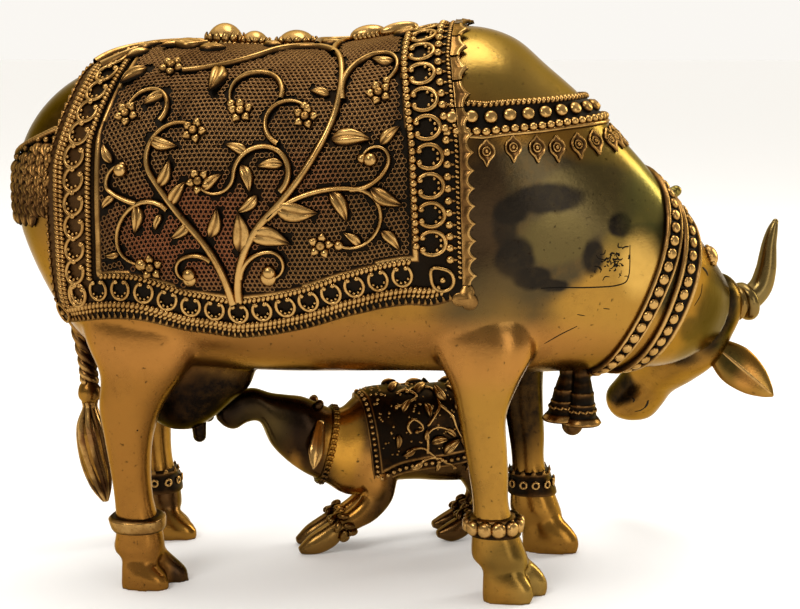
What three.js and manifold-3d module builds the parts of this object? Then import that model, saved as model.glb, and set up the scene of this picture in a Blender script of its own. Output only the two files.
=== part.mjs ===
// A brass cow under an ornamented saddlecloth, her head turned back to the calf that drinks from her.
// Millimetres, +Z up, +X towards her chest, the richer flank on -Y, all eight soles on z = 0.
import * as THREE from 'three';
import ManifoldLibrary from 'manifold-3d';

const wasm = await ManifoldLibrary();
wasm.setup();

// Driving dimensions of the cow
const ROUNDNESS = 2.25;
const TRUNK_RINGS = 29;
const TRUNK_SIDES = 22;
const TRUNK = [
  { top: [-126.5, 131], bottom: [-126.5, 125], half: 3 },
  { top: [-124.5, 142], bottom: [-124.5, 112], half: 12 },
  { top: [-118.5, 153], bottom: [-116.5, 95], half: 21 },
  { top: [-109, 162], bottom: [-106, 80], half: 28, haunch: 1.5 },
  { top: [-96, 168.5], bottom: [-95, 72], half: 33.5, haunch: 5 },
  { top: [-80, 172.5], bottom: [-79, 69.5], half: 37, haunch: 6 },
  { top: [-60, 173.5], bottom: [-59, 69], half: 39.5, haunch: 1.5 },
  { top: [-38, 173], bottom: [-37, 68.5], half: 40.5 },
  { top: [-15, 174], bottom: [-14, 69], half: 40 },
  { top: [6, 177.5], bottom: [7, 69.5], half: 38.5, haunch: 2 },
  { top: [22, 180.5], bottom: [22, 69.5], half: 36.5, haunch: 6 },
  { top: [36, 177], bottom: [33, 69.5], half: 34, haunch: 5.5 },
  { top: [47, 168], bottom: [42, 69.5], half: 31.5, haunch: 1.5, y: 1, turn: 5 },
  { top: [57, 159], bottom: [49.5, 69.5], half: 29, y: 3, turn: 13 },
  { top: [66.5, 148.5], bottom: [56, 69.5], half: 27, y: 6, turn: 23 },
  { top: [77, 136], bottom: [61.5, 69.5], half: 25.5, y: 9, turn: 32 },
  { top: [87, 123], bottom: [66, 71], half: 24, y: 13, turn: 40 },
  { top: [96.5, 109.5], bottom: [77, 70], half: 20, y: 25, turn: 50 },
  { top: [101.5, 101], bottom: [90, 72], half: 15, y: 34, turn: 55 },
];

// Legs, from inside the trunk down to the sole: height, x, half length, y, half width
const HIND_LEG = [
  [100, -83, 18, 17, 13], [88, -81, 19.5, 20, 14.5], [80, -80, 18.5, 21.5, 13.8], [70, -80.5, 13.5, 23, 11.8],
  [60, -84.2, 10.3, 24, 9.8], [50, -85.2, 7.8, 24.5, 8.2], [40, -85, 6.5, 24.5, 7.2], [28, -84.5, 6, 24, 6.6],
  [17, -83.4, 7.4, 23.5, 7.6], [8, -83, 8.5, 23.5, 8.5], [0, -78.5, 10, 23.5, 8.5],
];
const FRONT_LEG = [
  [100, 27, 15, 16, 13], [88, 28, 17, 20, 14], [80, 29, 16, 22, 13], [70, 29.5, 10.8, 24, 10.8],
  [60, 29, 7.6, 24.5, 8.8], [50, 30, 6.8, 24, 7.7], [40, 31.2, 6.2, 23.5, 7.1], [30, 31.9, 5.7, 23, 6.6],
  [19, 33.6, 7.8, 22.5, 7.8], [8, 38.2, 10, 22.5, 8.3], [0, 39.5, 9.7, 22.5, 8.2],
];
const LEG_SIDES = 10;
const LEGS = [
  { rows: HIND_LEG, side: -1, ahead: 0, apart: 0, anklet: { low: 19, high: 24 } },
  { rows: HIND_LEG, side: 1, ahead: -8.5, apart: 7, anklet: { low: 17, high: 23 } },
  { rows: FRONT_LEG, side: -1, ahead: 0, apart: 0, anklet: { low: 21, high: 28 } },
  { rows: FRONT_LEG, side: 1, ahead: 9.5, apart: 8.5, anklet: { low: 20, high: 29 } },
];
const LEG_DRIFT = { from: 95, to: 60 };
const CLEFT = { width: 2.2, depth: 9, height: 7 };
const DEWCLAW = { height: 9, shape: [[2, 2.4], [-1.6, 0.8]] };

// Head: a frame at the poll, and rings along it: distance, half width, half depth, rise
const POLL = [103, 38, 91];
const FACE = [-0.42, 0.52, -0.745];
const TO_RIGHT = [0.86, 0.495, -0.139];
const HEAD_SIDES = 12;
const HEAD = [
  [-7, 5, 4, -1], [-4, 9, 7, -1.5], [2, 12.5, 9.5, -2], [10, 13.5, 12, -2], [20, 13, 14.5, -2.5],
  [32, 11, 12.5, -2], [44, 8.7, 9.7, -1], [54, 8.7, 8.5, -1], [62, 8.2, 7.5, -0.5], [66, 5, 4.5, 0],
];
const HORN = { spread: 10.5, rise: 0.5, root: 4.4, tip: 1.2, sides: 7, steps: 7 };
const HORN_SWEEP = [0.09, -0.02, 0.995];
const HORN_REACH = { right: { out: 12, up: 28 }, left: { out: 9.5, up: 33 } };
const HORN_RING = { from: 1.5, steps: [0, 1.2, 2.6, 3.8], radii: [4, 5.6, 5.6, 4] };
const EAR = { from: 22, spread: 11, rise: -2, length: 28, width: 6.8, thick: 2.4 };
const EAR_FACING = [0.15, -0.95, 0.25];
const EAR_REACH = { right: [0.79, -0.12, -0.6], left: [-0.92, 0.1, -0.28] };
const EAR_SHAPE = [[0, 0.35, 0.9], [0.18, 0.6, 1], [0.45, 1, 1], [0.72, 0.8, 0.8], [1, 0.06, 0.1]];
const EYE = { along: 20, spread: 11.2, rise: 6, radius: 3.4 };

// Saddlecloth: x of its rear and front edges and its drop from the ridge, all along the skin
const CLOTH = { lift: 1.3, sunk: 1.2, rimLift: 2.1, lineLift: 3.5, lineHalf: 1.9, step: 1.2 };
const RIM = { rear: [20, 5], front: [17, 7.5], hem: [15, 5] };
const REAR_EDGE = [[0, -98], [22, -101.2], [43, -108.4], [84, -109], [93, -107.8], [120, -107.8]];
const FRONT_EDGE = [[0, 22], [27, 22], [55, 25.4], [97, 27], [120, 27]];
const HEM = [
  [-109, 93], [-96.6, 98.2], [-85, 101.4], [-76, 104], [-63, 109.8], [-47, 113], [-35, 111.3],
  [-24.5, 108.8], [-13, 105], [-2, 103], [8, 102.4], [14, 104], [25.5, 101],
];
const CLOTH_FIELD_STEPS = { along: 6, around: 12 };

// Vines on the cloth: start (x, drop), heading, length and the turns of equal stretches, in degrees
const STEMS = [
  { at: [-45, 98], heading: -93, reach: 143, turns: [49, -19, -43, -118, 44] },
  { at: [-47, 99], heading: -99, reach: 71, turns: [-33, 10, 140] },
  { at: [-66, 70], heading: -132, reach: 36, turns: [-215] },
  { at: [-76, 67], heading: -157, reach: 21, turns: [22, 153] },
  { at: [-53, 86], heading: -143, reach: 19, turns: [-63, -162] },
  { at: [-31, 65], heading: -42, reach: 48, turns: [-121, -104, 154] },
  { at: [-32, 51], heading: -156, reach: 24, turns: [197] },
  { at: [-32, 37], heading: -76, reach: 31, turns: [-219] },
  { at: [-69, 43], heading: -45, reach: 23, turns: [-207] },
  { at: [-35, 73], heading: -44, reach: 59, turns: [56, 196] },
  { at: [-10, 65], heading: 10, reach: 27, turns: [-75, -189] },
  { at: [-13, 38], heading: -106, reach: 38, turns: [80, 175] },
  { at: [-44, 91], heading: -82, reach: 27, turns: [81, 192] },
  { at: [-18, 18], heading: -97, reach: 18, turns: [42] },
];
const SUNK = 1;
const STEM = { half: 1.2, height: 1.9, step: 8.5 };
const LEAVES = [
  [-16, 50, -5, 50], [-38, 66, -43, 71], [-76, 67, -76, 75], [-41, 78, -29, 79], [-33, 69, -21, 72],
  [-16, 65, -11, 73], [-1, 78, 4, 83], [-44, 83, -43, 72], [-76, 23, -83, 28],
];
const LEAF = { half: 2.1, height: 2 };
const FLOWERS = [
  [-58, 47], [-72, 87], [-56, 62], [-24, 43], [-44, 41], [-80, 39], [-19, 81], [-2, 37], [-68, 24],
];
const FLOWER = { radius: 4, height: 2.4 };
const BUDS = [[-81, 56], [-60, 90], [-4, 57], [-35, 89]];
const BUD = { radius: 2.4, height: 2.4 };
const RIDGE_ORNAMENTS = [
  { u: -52, radius: 11, height: 5 }, { u: -31, radius: 6, height: 5.4 }, { u: -16, radius: 7, height: 3.4 },
  { u: -3, radius: 4.5, height: 3.4 },
];

// Band of beads and pendants over the shoulders, at a height that rises along x
const SHOULDER_BAND = { x: 27, low: [147, 0.1], high: [156, 0.0625], lift: 1.6, from: [66, 56], steps: 12 };
const PENDANTS = { angles: [68, 63, 57, 51, 44, 36, 26], drop: 7.5, girth: 33, half: 2.4 };

// Two collars round the throat, by the trunk's own rings
const COLLAR_ROUNDS = 16;
const COLLARS = [
  { at: 15.8, low: 15.8, wide: 0.27, lift: 1.7 },
  { at: 15.25, low: 14.5, wide: 0.22, lift: 1.4 },
];
const BELLS = [
  { at: [53.6, 1, 52.4], lean: 3 }, { at: [60.3, 8, 52], lean: -0.5 },
];
const BELL = { height: 17, sides: 8 };
// Bell outline, from the mouth to the hanger: part of the height, radius
const BELL_SHAPE = [[0, 5.2], [0.1, 4.5], [0.3, 3.7], [0.62, 3.2], [0.8, 1.8], [1, 2.4], [1.35, 2.2]];

// Udder, from inside the belly down: height, x, half length, y, half width
const UDDER = [
  [80, -68, 22, -2, 13], [72, -68, 21, -2.5, 13], [63, -69, 19.3, -3.5, 12], [58, -71.5, 16.5, -4, 10.5],
  [53, -72.5, 11.8, -4.5, 8.5], [50, -73, 8, -4.5, 6.5], [48.2, -72.5, 4.5, -4.5, 4],
];
const UDDER_SIDES = 14;
// One teat hangs free and one reaches towards the calf's mouth
const TEATS = [
  [[-67.3, -4, 54], [-67.3, -4, 47.5], [-67.3, -4, 45.2]],
  [[-69, -3, 55], [-66.6, 1, 52], [-65.8, 2.8, 50.8]],
];
const TEAT_RADII = [2.6, 2.5, 1.7];
const TAIL = [
  [-124, 0, 134, 4], [-124.5, 0, 118, 3.4], [-118, 0, 103, 3], [-110.5, 0, 86, 2.8], [-107, 0, 72, 2.8],
  [-106, 0, 63, 2.8], [-106, 0, 60, 4.2], [-106, 0, 56, 4.2], [-106, 0, 52.5, 3], [-106, 0, 46, 5.2],
  [-105, 0, 36, 5.8], [-103.5, 0, 27, 4.4], [-102, 0, 20, 1],
];
const TAIL_PAD = { at: [-124, 0, 129], radii: [4.5, 9, 14] };

// Driving dimensions of the calf, along its own line: distance forward, height
const CALF_LINE = { x: 0, y: 34.6, bearing: 203.5 };
const CALF_TRUNK = [
  { top: [70, 52], bottom: [69.6, 48.5], half: 1.8 },
  { top: [68.5, 55], bottom: [66.8, 45.8], half: 3.6 },
  { top: [64.5, 57.5], bottom: [63.3, 44.9], half: 4.4 },
  { top: [60, 58.5], bottom: [59, 47], half: 4.3 },
  { top: [56, 58.6], bottom: [54.6, 46.5], half: 4.8 },
  { top: [50.5, 56.6], bottom: [51, 38.8], half: 5.8 },
  { top: [45, 55.6], bottom: [46, 33], half: 6.8 },
  { top: [39.5, 54.6], bottom: [40.5, 28.5], half: 7.8 },
  { top: [34.5, 52.4], bottom: [35.5, 25.5], half: 7.6 },
  { top: [29.5, 50], bottom: [31, 23], half: 7.4 },
  { top: [25, 50], bottom: [26.5, 19.8], half: 8.4 },
  { top: [20.5, 53.5], bottom: [22, 18.5], half: 10 },
  { top: [15, 55.8], bottom: [15.5, 20], half: 11.4 },
  { top: [8, 56], bottom: [8, 22.5], half: 12 },
  { top: [0, 55.3], bottom: [0, 22.6], half: 12.4 },
  { top: [-11, 55.8], bottom: [-10.5, 21.3], half: 12.2 },
  { top: [-20, 55], bottom: [-19, 21.3], half: 11.2 },
  { top: [-27, 53], bottom: [-26, 25.5], half: 9.6 },
  { top: [-32, 48], bottom: [-31, 33], half: 6.6 },
  { top: [-34.5, 43], bottom: [-34.5, 38], half: 2.5 },
];
const CALF_SIDES = 12;
const CALF_RINGS = 19;
// Calf legs: distance forward, height, half thickness, half width
const CALF_FRONT_LEG = [
  [14, 40, 8, 4], [14, 32, 8, 5.2], [13.4, 24, 6.8, 5], [13, 18.5, 5.4, 4.4], [16.5, 14, 4.6, 3.8],
  [21.5, 11, 3.8, 3.4], [26.5, 8.6, 3.6, 3.3], [31, 5.4, 4.2, 3.8], [36, 3, 3.6, 3.4], [41, 1.2, 1.2, 1.8],
];
const CALF_HIND_LEG = [
  [-21, 42, 7.5, 4], [-21.5, 33, 8, 5], [-23, 25, 6.4, 4.8], [-26, 18.5, 4.8, 4], [-26.5, 13.5, 4, 3.6],
  [-24, 9.6, 3.6, 3.3], [-21, 6.8, 3.6, 3.3], [-17.5, 4.4, 3.8, 3.6], [-14, 3.2, 3.4, 3.2],
  [-9.5, 3, 1.2, 1.8],
];
const CALF_LEG_SIDES = 7;
const CALF_LEGS = [
  { rows: CALF_FRONT_LEG, side: -5.6, ahead: 0 }, { rows: CALF_FRONT_LEG, side: 5.6, ahead: 1.5 },
  { rows: CALF_HIND_LEG, side: -5.8, ahead: 0 }, { rows: CALF_HIND_LEG, side: 5.8, ahead: 2 },
];
const CALF_ANKLET = { row: 6, back: 1, rise: 0.6, radii: [3.4, 5, 5] };
// Cloth, collar and ears are placed by the calf trunk's own sections
const CALF_CLOTH = { front: 12.4, rear: 17.2, drop: 118, lift: 0.8, rimLift: 1.5, sunk: 1 };
const CALF_CLOTH_STEPS = { columns: 5, rows: 9 };
const CALF_COLLAR = { at: 9.3, low: 8.35, wide: 0.22, lift: 1.2 };
const CALF_EAR = { at: 7.9, angle: 62, length: 15.5, half: 2.9, thick: 1.5, forward: 0.27, spread: 0.16 };
const CALF_EAR_SHAPE = [[-0.1, 0.5], [0.25, 0.85], [0.6, 1], [0.85, 0.6], [1, 0.1]];
const CALF_HORN_BUD = { angle: 26, radii: [1.8, 1.8, 2.6] };
// Scrolls on the calf's cloth: start as millimetres behind its front and degrees from the ridge
const CALF_STEMS = [
  { at: [2, 34], heading: 20, reach: 15, turns: [150] },
  { at: [12, 78], heading: -80, reach: 22, turns: [80, -60] },
];
const CALF_STEM = { half: 0.8, height: 1.1, step: 3.2, inset: 1, perMillimetre: 0.1 };

const BRASS = new THREE.MeshStandardMaterial({ color: 0xb48c3c, roughness: 0.34, metalness: 1 });
const DARK_BRASS = new THREE.MeshStandardMaterial({ color: 0x8a6430, roughness: 0.4, metalness: 1 });

const radians = THREE.MathUtils.degToRad;
const mix = THREE.MathUtils.lerp;
const smooth = THREE.MathUtils.smoothstep;
const vector = (x, y, z) => new THREE.Vector3(x, y, z);
const scaled = (axis, by) => axis.clone().multiplyScalar(by);
const sum = (start, ...steps) => (
  steps.reduce((total, [axis, by]) => total.addScaledVector(axis, by), start.clone())
);

// Solids

function solidOf(points, triangles) {
  let volume = 0;
  for (const [a, b, c] of triangles) {
    volume += points[a].dot(points[b].clone().cross(points[c]));
  }
  const outward = volume > 0 ? triangles : triangles.map(([a, b, c]) => [a, c, b]);
  const vertProperties = new Float32Array(points.flatMap((point) => point.toArray()));
  const triVerts = new Uint32Array(outward.flat());
  return new wasm.Manifold(new wasm.Mesh({ numProp: 3, vertProperties, triVerts }));
}

// A shell through rings of equal count. Its ends are closed straight across, or it runs round in a loop.
function loft(rings, looped = false) {
  const count = rings[0].length;
  const triangles = [];
  const quad = (a, b, c, d) => triangles.push([a, b, c], [a, c, d]);
  const spans = looped ? rings.length : rings.length - 1;
  for (let i = 0; i < spans; i += 1) {
    const here = i * count;
    const next = ((i + 1) % rings.length) * count;
    for (let k = 0; k < count; k += 1) {
      const m = (k + 1) % count;
      quad(here + k, here + m, next + m, next + k);
    }
  }
  const close = (start, flip) => {
    for (let k = 0; k < count / 2 - 1; k += 1) {
      const far = count - 1 - k;
      const corners = [start + k, start + far, start + far - 1, start + k + 1];
      const [a, b, c, d] = flip ? corners.reverse() : corners;
      if (c === d || b === c) {
        triangles.push([a, b, d]);
      } else {
        quad(a, b, c, d);
      }
    }
  };
  if (!looped) {
    close(0, false);
    close((rings.length - 1) * count, true);
  }
  return solidOf(rings.flat(), triangles);
}

// A closed oval of points round a centre, with half axes along two vectors
function oval(centre, across, deep, sides, power = 2) {
  return Array.from({ length: sides }, (_, k) => {
    const angle = (2 * Math.PI * (k + 0.5)) / sides;
    const cos = Math.cos(angle);
    const sin = Math.sin(angle);
    const size = (Math.abs(cos) ** power + Math.abs(sin) ** power) ** (-1 / power);
    return sum(centre, [across, cos * size], [deep, sin * size]);
  });
}

function ball(centre, radii, rows, sides, axes = [vector(1, 0, 0), vector(0, 1, 0), vector(0, 0, 1)]) {
  const rings = Array.from({ length: rows + 1 }, (_, i) => {
    const tilt = mix(0.08, 0.92, i / rows) * Math.PI;
    const middle = sum(centre, [axes[2], -radii[2] * Math.cos(tilt)]);
    const wide = Math.sin(tilt);
    return oval(middle, scaled(axes[0], radii[0] * wide), scaled(axes[1], radii[1] * wide), sides);
  });
  return loft(rings);
}

// A round rod through points, each with its own radius, its rings square to the path
function rod(points, radii, sides, across = vector(0, 1, 0)) {
  const rings = points.map((point, i) => {
    const before = points[Math.max(i - 1, 0)];
    const after = points[Math.min(i + 1, points.length - 1)];
    const along = after.clone().sub(before).normalize();
    const deep = along.clone().cross(across).normalize();
    const wide = deep.clone().cross(along).normalize();
    return oval(point, wide.multiplyScalar(radii[i]), deep.multiplyScalar(radii[i]), sides);
  });
  return loft(rings);
}

const joined = (solids) => solids.reduce((total, solid) => total.add(solid));

// Skin of a trunk: sections blended as a Catmull-Rom curve runs, each a rounded oval that may turn in plan

function sectionAt(sections, t) {
  const last = sections.length - 1;
  const start = Math.min(Math.max(Math.floor(t), 0), last - 1);
  const w = t - start;
  const row = (i) => {
    const { top, bottom, half, y = 0, turn = 0, haunch = 0 } = sections[i];
    return [...top, ...bottom, half, y, turn, haunch];
  };
  const here = row(start);
  const next = row(start + 1);
  const before = start > 0 ? row(start - 1) : here.map((value, k) => 2 * value - next[k]);
  const after = start + 2 <= last ? row(start + 2) : next.map((value, k) => 2 * value - here[k]);
  return here.map((value, k) => 0.5 * (2 * value + (next[k] - before[k]) * w
    + (2 * before[k] - 5 * value + 4 * next[k] - after[k]) * w ** 2
    + (3 * value - before[k] - 3 * next[k] + after[k]) * w ** 3));
}

function barePoint(sections, t, angle) {
  const [topX, topZ, bottomX, bottomZ, half, y, turn, haunch] = sectionAt(sections, t);
  const centre = vector((topX + bottomX) / 2, y, (topZ + bottomZ) / 2);
  const up = vector((topX - bottomX) / 2, 0, (topZ - bottomZ) / 2);
  const forward = vector(up.z, 0, -up.x).normalize();
  const side = sum(vector(0, -Math.cos(radians(turn)) * half, 0), [forward, Math.sin(radians(turn)) * half]);
  const cos = Math.cos(angle);
  const sin = Math.sin(angle);
  const size = (Math.abs(cos) ** ROUNDNESS + Math.abs(sin) ** ROUNDNESS) ** (-1 / ROUNDNESS);
  const round = Math.abs(THREE.MathUtils.radToDeg(angle > Math.PI ? angle - 2 * Math.PI : angle));
  const swell = haunch * smooth(round, 95, 135) * (1 - smooth(round, 150, 178));
  return sum(centre, [up, cos * size], [side, sin * size * (1 + swell / half)]);
}

// The frame of a skin: a point, the ways forward and round, and the outward normal
function skinFrame(sections, t, angle, lift = 0) {
  const step = 0.01;
  const point = barePoint(sections, t, angle);
  const forward = barePoint(sections, t + step, angle).sub(barePoint(sections, t - step, angle)).normalize();
  const round = barePoint(sections, t, angle + step).sub(barePoint(sections, t, angle - step)).normalize();
  const out = round.clone().cross(forward).normalize();
  return { point: point.addScaledVector(out, lift), forward, round, out };
}

function trunkSolid(sections, rings, sides) {
  const last = sections.length - 1;
  return loft(Array.from({ length: rings + 1 }, (_, i) => Array.from({ length: sides }, (_, k) => (
    barePoint(sections, (last * i) / rings, (2 * Math.PI * (k + 0.5)) / sides)
  ))));
}

// Cloth places on the cow: u is x in millimetres, v the way down from the ridge along the skin

function trunkAt(x) {
  let low = 1;
  let high = 11.5;
  for (let i = 0; i < 20; i += 1) {
    const middle = (low + high) / 2;
    const [topX, , bottomX] = sectionAt(TRUNK, middle);
    [low, high] = (topX + bottomX) / 2 < x ? [middle, high] : [low, middle];
  }
  return (low + high) / 2;
}

const girths = new Map();
function angleAt(t, v) {
  const key = t.toFixed(2);
  const steps = 60;
  const stride = radians(160) / steps;
  if (!girths.has(key)) {
    const lengths = [0];
    for (let i = 1; i <= steps; i += 1) {
      const from = barePoint(TRUNK, Number(key), (i - 1) * stride);
      lengths.push(lengths[i - 1] + from.distanceTo(barePoint(TRUNK, Number(key), i * stride)));
    }
    girths.set(key, lengths);
  }
  const lengths = girths.get(key);
  const above = Math.min(Math.max(lengths.findIndex((length) => length >= Math.abs(v)), 1), steps);
  const part = (Math.abs(v) - lengths[above - 1]) / (lengths[above] - lengths[above - 1]);
  return Math.sign(v) * (above - 1 + part) * stride;
}

function clothFrame(u, v, lift = 0) {
  const t = trunkAt(u);
  return skinFrame(TRUNK, t, angleAt(t, v), lift);
}

function along(table, place) {
  const next = Math.max(table.findIndex(([from]) => from >= place), 1);
  const [x0, y0] = table[next - 1];
  const [x1, y1] = table[next];
  return mix(y0, y1, THREE.MathUtils.clamp((place - x0) / (x1 - x0), 0, 1));
}

// Reliefs that stand on a cloth: a ridge through frames, a leaf, a flower and a dome

const placeOn = ({ point, out }, side, across, up) => sum(point, [side, across], [out, up]);

function ridge(frames, halves, heights) {
  const rings = frames.map((frame, i) => {
    const before = frames[Math.max(i - 1, 0)].point;
    const after = frames[Math.min(i + 1, frames.length - 1)].point;
    const side = after.clone().sub(before).cross(frame.out).normalize();
    const edge = (across) => placeOn(frame, side, across, -SUNK);
    return [edge(-halves[i]), placeOn(frame, side, 0, heights[i]), edge(halves[i])];
  });
  return loft(rings);
}

function stemRelief({ at, heading, reach, turns }, frameAt, { half, height, step }) {
  const strides = Math.max(Math.round(reach / step / turns.length), 1);
  const stride = reach / strides / turns.length;
  let [u, v] = at;
  let direction = radians(heading);
  const frames = [frameAt(u, v)];
  for (const turn of turns) {
    for (let i = 0; i < strides; i += 1) {
      direction += radians(turn) / strides / 2;
      u += stride * Math.cos(direction);
      v += stride * Math.sin(direction);
      direction += radians(turn) / strides / 2;
      frames.push(frameAt(u, v));
    }
  }
  const taper = frames.map((_, i) => mix(1, 0.55, i / (frames.length - 1)));
  return ridge(frames, taper.map((part) => part * half), taper.map((part) => part * height));
}

function leafRelief([u0, v0, u1, v1], frameAt, { half, height }) {
  const frames = [0, 0.45, 1].map((part) => frameAt(mix(u0, u1, part), mix(v0, v1, part)));
  return ridge(frames, [half * 0.25, half, half * 0.2], [height * 0.5, height, height * 0.3]);
}

function domeRelief(frame, radius, height, sides, notch = radius) {
  const ring = (size, up) => Array.from({ length: sides }, (_, k) => {
    const angle = (2 * Math.PI * k) / sides;
    const reach = size * (k % 2 ? notch / radius : 1);
    return sum(frame.point, [frame.forward, reach * Math.cos(angle)], [frame.round, reach * Math.sin(angle)],
      [frame.out, up]);
  });
  return loft([ring(radius, -SUNK), ring(radius * 0.4, height)]);
}

// Saddlecloth: a sheet that lies on the skin, with a raised rim and a line of relief along each edge

function clothPlace(column, row) {
  const edge = (offset, low, high) => (offset < 0 ? high + offset : low + offset);
  let v = 0;
  let u = 0;
  for (let pass = 0; pass < 3; pass += 1) {
    const rear = along(REAR_EDGE, Math.abs(v));
    const front = along(FRONT_EDGE, Math.abs(v));
    const fieldRear = rear + RIM.rear[0] + CLOTH.step;
    const fieldFront = front - RIM.front[0] - CLOTH.step;
    u = column.offset ? edge(column.offset, rear, front) : mix(fieldRear, fieldFront, column.part);
    const hem = along(HEM, u);
    const field = hem - RIM.hem[0] - CLOTH.step;
    v = row.offset ? edge(row.offset, -hem, hem) : mix(-field, field, row.part);
  }
  return [u, v];
}

// Places across the cloth from one edge to the other, each with its height above the skin
function clothLines(lowRim, highRim, steps) {
  const rim = ([width, line]) => [
    { offset: 0.01, lift: CLOTH.rimLift },
    ...[-1, 0, 1].map((way) => (
      { offset: line + way * CLOTH.lineHalf, lift: way ? CLOTH.rimLift : CLOTH.lineLift }
    )),
    { offset: width, lift: CLOTH.rimLift },
  ];
  const field = Array.from({ length: steps + 1 }, (_, k) => ({ part: k / steps, lift: CLOTH.lift }));
  const opposite = rim(highRim).reverse().map(({ offset, lift }) => ({ offset: -offset, lift }));
  return [...rim(lowRim), ...field, ...opposite];
}

function saddlecloth() {
  const columns = clothLines(RIM.rear, RIM.front, CLOTH_FIELD_STEPS.along);
  const rows = clothLines(RIM.hem, RIM.hem, CLOTH_FIELD_STEPS.around);
  const layer = (liftOf) => columns.map((column) => rows.map((row) => {
    const [u, v] = clothPlace(column, row);
    return clothFrame(u, v, liftOf(column, row)).point;
  }));
  const outer = layer((column, row) => Math.max(column.lift, row.lift));
  const inner = layer(() => -CLOTH.sunk);
  return loft(outer.map((row, i) => [...row, ...inner[i].reverse()]));
}

function vineRelief() {
  const reliefs = [];
  for (const side of [1, -1]) {
    const frameAt = (u, v) => clothFrame(u, side * v, CLOTH.lift);
    const shown = side > 0;
    for (const stem of shown ? STEMS : STEMS.filter(({ reach }) => reach > 40)) {
      reliefs.push(stemRelief(stem, frameAt, STEM));
    }
    for (const leaf of shown ? LEAVES : []) {
      reliefs.push(leafRelief(leaf, frameAt, LEAF));
    }
    for (const [u, v] of shown ? FLOWERS : FLOWERS.slice(0, 3)) {
      reliefs.push(domeRelief(frameAt(u, v), FLOWER.radius, FLOWER.height, 5));
    }
    for (const [u, v] of shown ? BUDS : []) {
      reliefs.push(domeRelief(frameAt(u, v), BUD.radius, BUD.height, 5));
    }
  }
  for (const { u, radius, height } of RIDGE_ORNAMENTS) {
    reliefs.push(domeRelief(clothFrame(u, 0.01, CLOTH.lift), radius, height, 10, radius * 0.8));
  }
  return reliefs;
}

// Band over the shoulders, with its pendants

function shoulderPlace(angle, level) {
  const heightAt = (x) => {
    const [low, lowRise] = SHOULDER_BAND.low;
    const [high, highRise] = SHOULDER_BAND.high;
    const ahead = x - SHOULDER_BAND.x;
    return mix(low + lowRise * ahead, high + highRise * ahead, level);
  };
  let near = 10;
  let far = 15;
  for (let i = 0; i < 20; i += 1) {
    const middle = (near + far) / 2;
    const point = barePoint(TRUNK, middle, angle);
    [near, far] = point.z > heightAt(point.x) ? [middle, far] : [near, middle];
  }
  return near;
}

function shoulderBand() {
  const ringAt = (k) => {
    const part = mix(-1, 1, k / SHOULDER_BAND.steps);
    const edge = (level, lift) => {
      const angle = -part * radians(mix(...SHOULDER_BAND.from, level));
      return skinFrame(TRUNK, shoulderPlace(angle, level), angle, lift).point;
    };
    const { lift } = SHOULDER_BAND;
    return [edge(-0.15, -1), edge(0, lift), edge(0.5, lift * 0.5), edge(1, lift), edge(1.15, -1)];
  };
  const band = loft(Array.from({ length: SHOULDER_BAND.steps + 1 }, (_, k) => ringAt(k)));
  const pendants = [1, -1].flatMap((side) => PENDANTS.angles.map((degrees) => {
    const angle = side * radians(degrees);
    const t = shoulderPlace(angle, -0.1);
    const frameAt = (part) => skinFrame(TRUNK, t, angle + side * part * PENDANTS.drop / PENDANTS.girth);
    return ridge([0, 0.5, 1].map(frameAt), [1.2, PENDANTS.half, 0.5], [1.6, 2, 0.6]);
  }));
  return joined([band, ...pendants]);
}

// A collar: a band round a neck with a raised line on each edge
function collar(sections, { at, low, wide, lift }, rounds) {
  const ringAt = (k) => {
    const angle = (2 * Math.PI * k) / rounds;
    const t = mix(at, low, ((1 - Math.cos(angle)) / 2) ** 2);
    const edge = (part, height) => skinFrame(sections, t + part * wide, angle, height).point;
    return [edge(-1.2, -1), edge(-1, lift), edge(1, lift), edge(1.2, -1)];
  };
  return loft(Array.from({ length: rounds }, (_, k) => ringAt(k)), true);
}

// Legs, each drifting from its place under the trunk to its own footprint

function legPlace([height, x, , y], { side, ahead, apart }) {
  const drift = THREE.MathUtils.clamp((LEG_DRIFT.from - height) / (LEG_DRIFT.from - LEG_DRIFT.to), 0, 1);
  return vector(x + ahead * drift, side * (y + apart * drift), height);
}

function legRing(row, leg, grow = 0) {
  const [, , halfX, , halfY] = row;
  return oval(legPlace(row, leg), vector(halfX + grow, 0, 0), vector(0, halfY + grow, 0), LEG_SIDES, 2.3);
}

function legRowAt(rows, height) {
  const next = Math.max(rows.findIndex(([top]) => top <= height), 1);
  const [above, below] = [rows[next - 1], rows[next]];
  const part = (above[0] - height) / (above[0] - below[0]);
  return above.map((value, k) => mix(value, below[k], part));
}

function cowLeg(leg) {
  const { rows, anklet } = leg;
  const shaft = loft(rows.map((row) => legRing(row, leg)));
  const sole = rows[rows.length - 1];
  const toe = legPlace(sole, leg).add(vector(sole[2], 0, 0));
  const wedge = (x, half, foot, top) => (
    [[-half, foot], [half, foot], [0, top]].map(([across, z]) => vector(x, toe.y + across, z))
  );
  const cleft = loft([
    wedge(toe.x + 1, CLEFT.width / 2, -1, CLEFT.height),
    wedge(toe.x - CLEFT.depth, 0.1, -1, 0.1),
  ]);
  const heelRow = legRowAt(rows, DEWCLAW.height);
  const heel = legPlace(heelRow, leg).add(vector(0.4 - heelRow[2], 0, 0));
  const claws = [-1, 1].map((way) => loft(DEWCLAW.shape.map(([back, size]) => {
    const centre = sum(heel, [vector(1, way * 2, 0), back], [vector(0, way, 0), 0.5]);
    return oval(centre, vector(0, size, 0), vector(0, 0, size), 4);
  })));
  const band = loft([[0, -1], [0.3, 2.4], [0.7, 2.4], [1, -1]].map(([part, grow]) => (
    legRing(legRowAt(rows, mix(anklet.low, anklet.high, part)), leg, grow)
  )));
  return joined([shaft, ...claws, band]).subtract(cleft);
}

// Head, horns and ears

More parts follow.
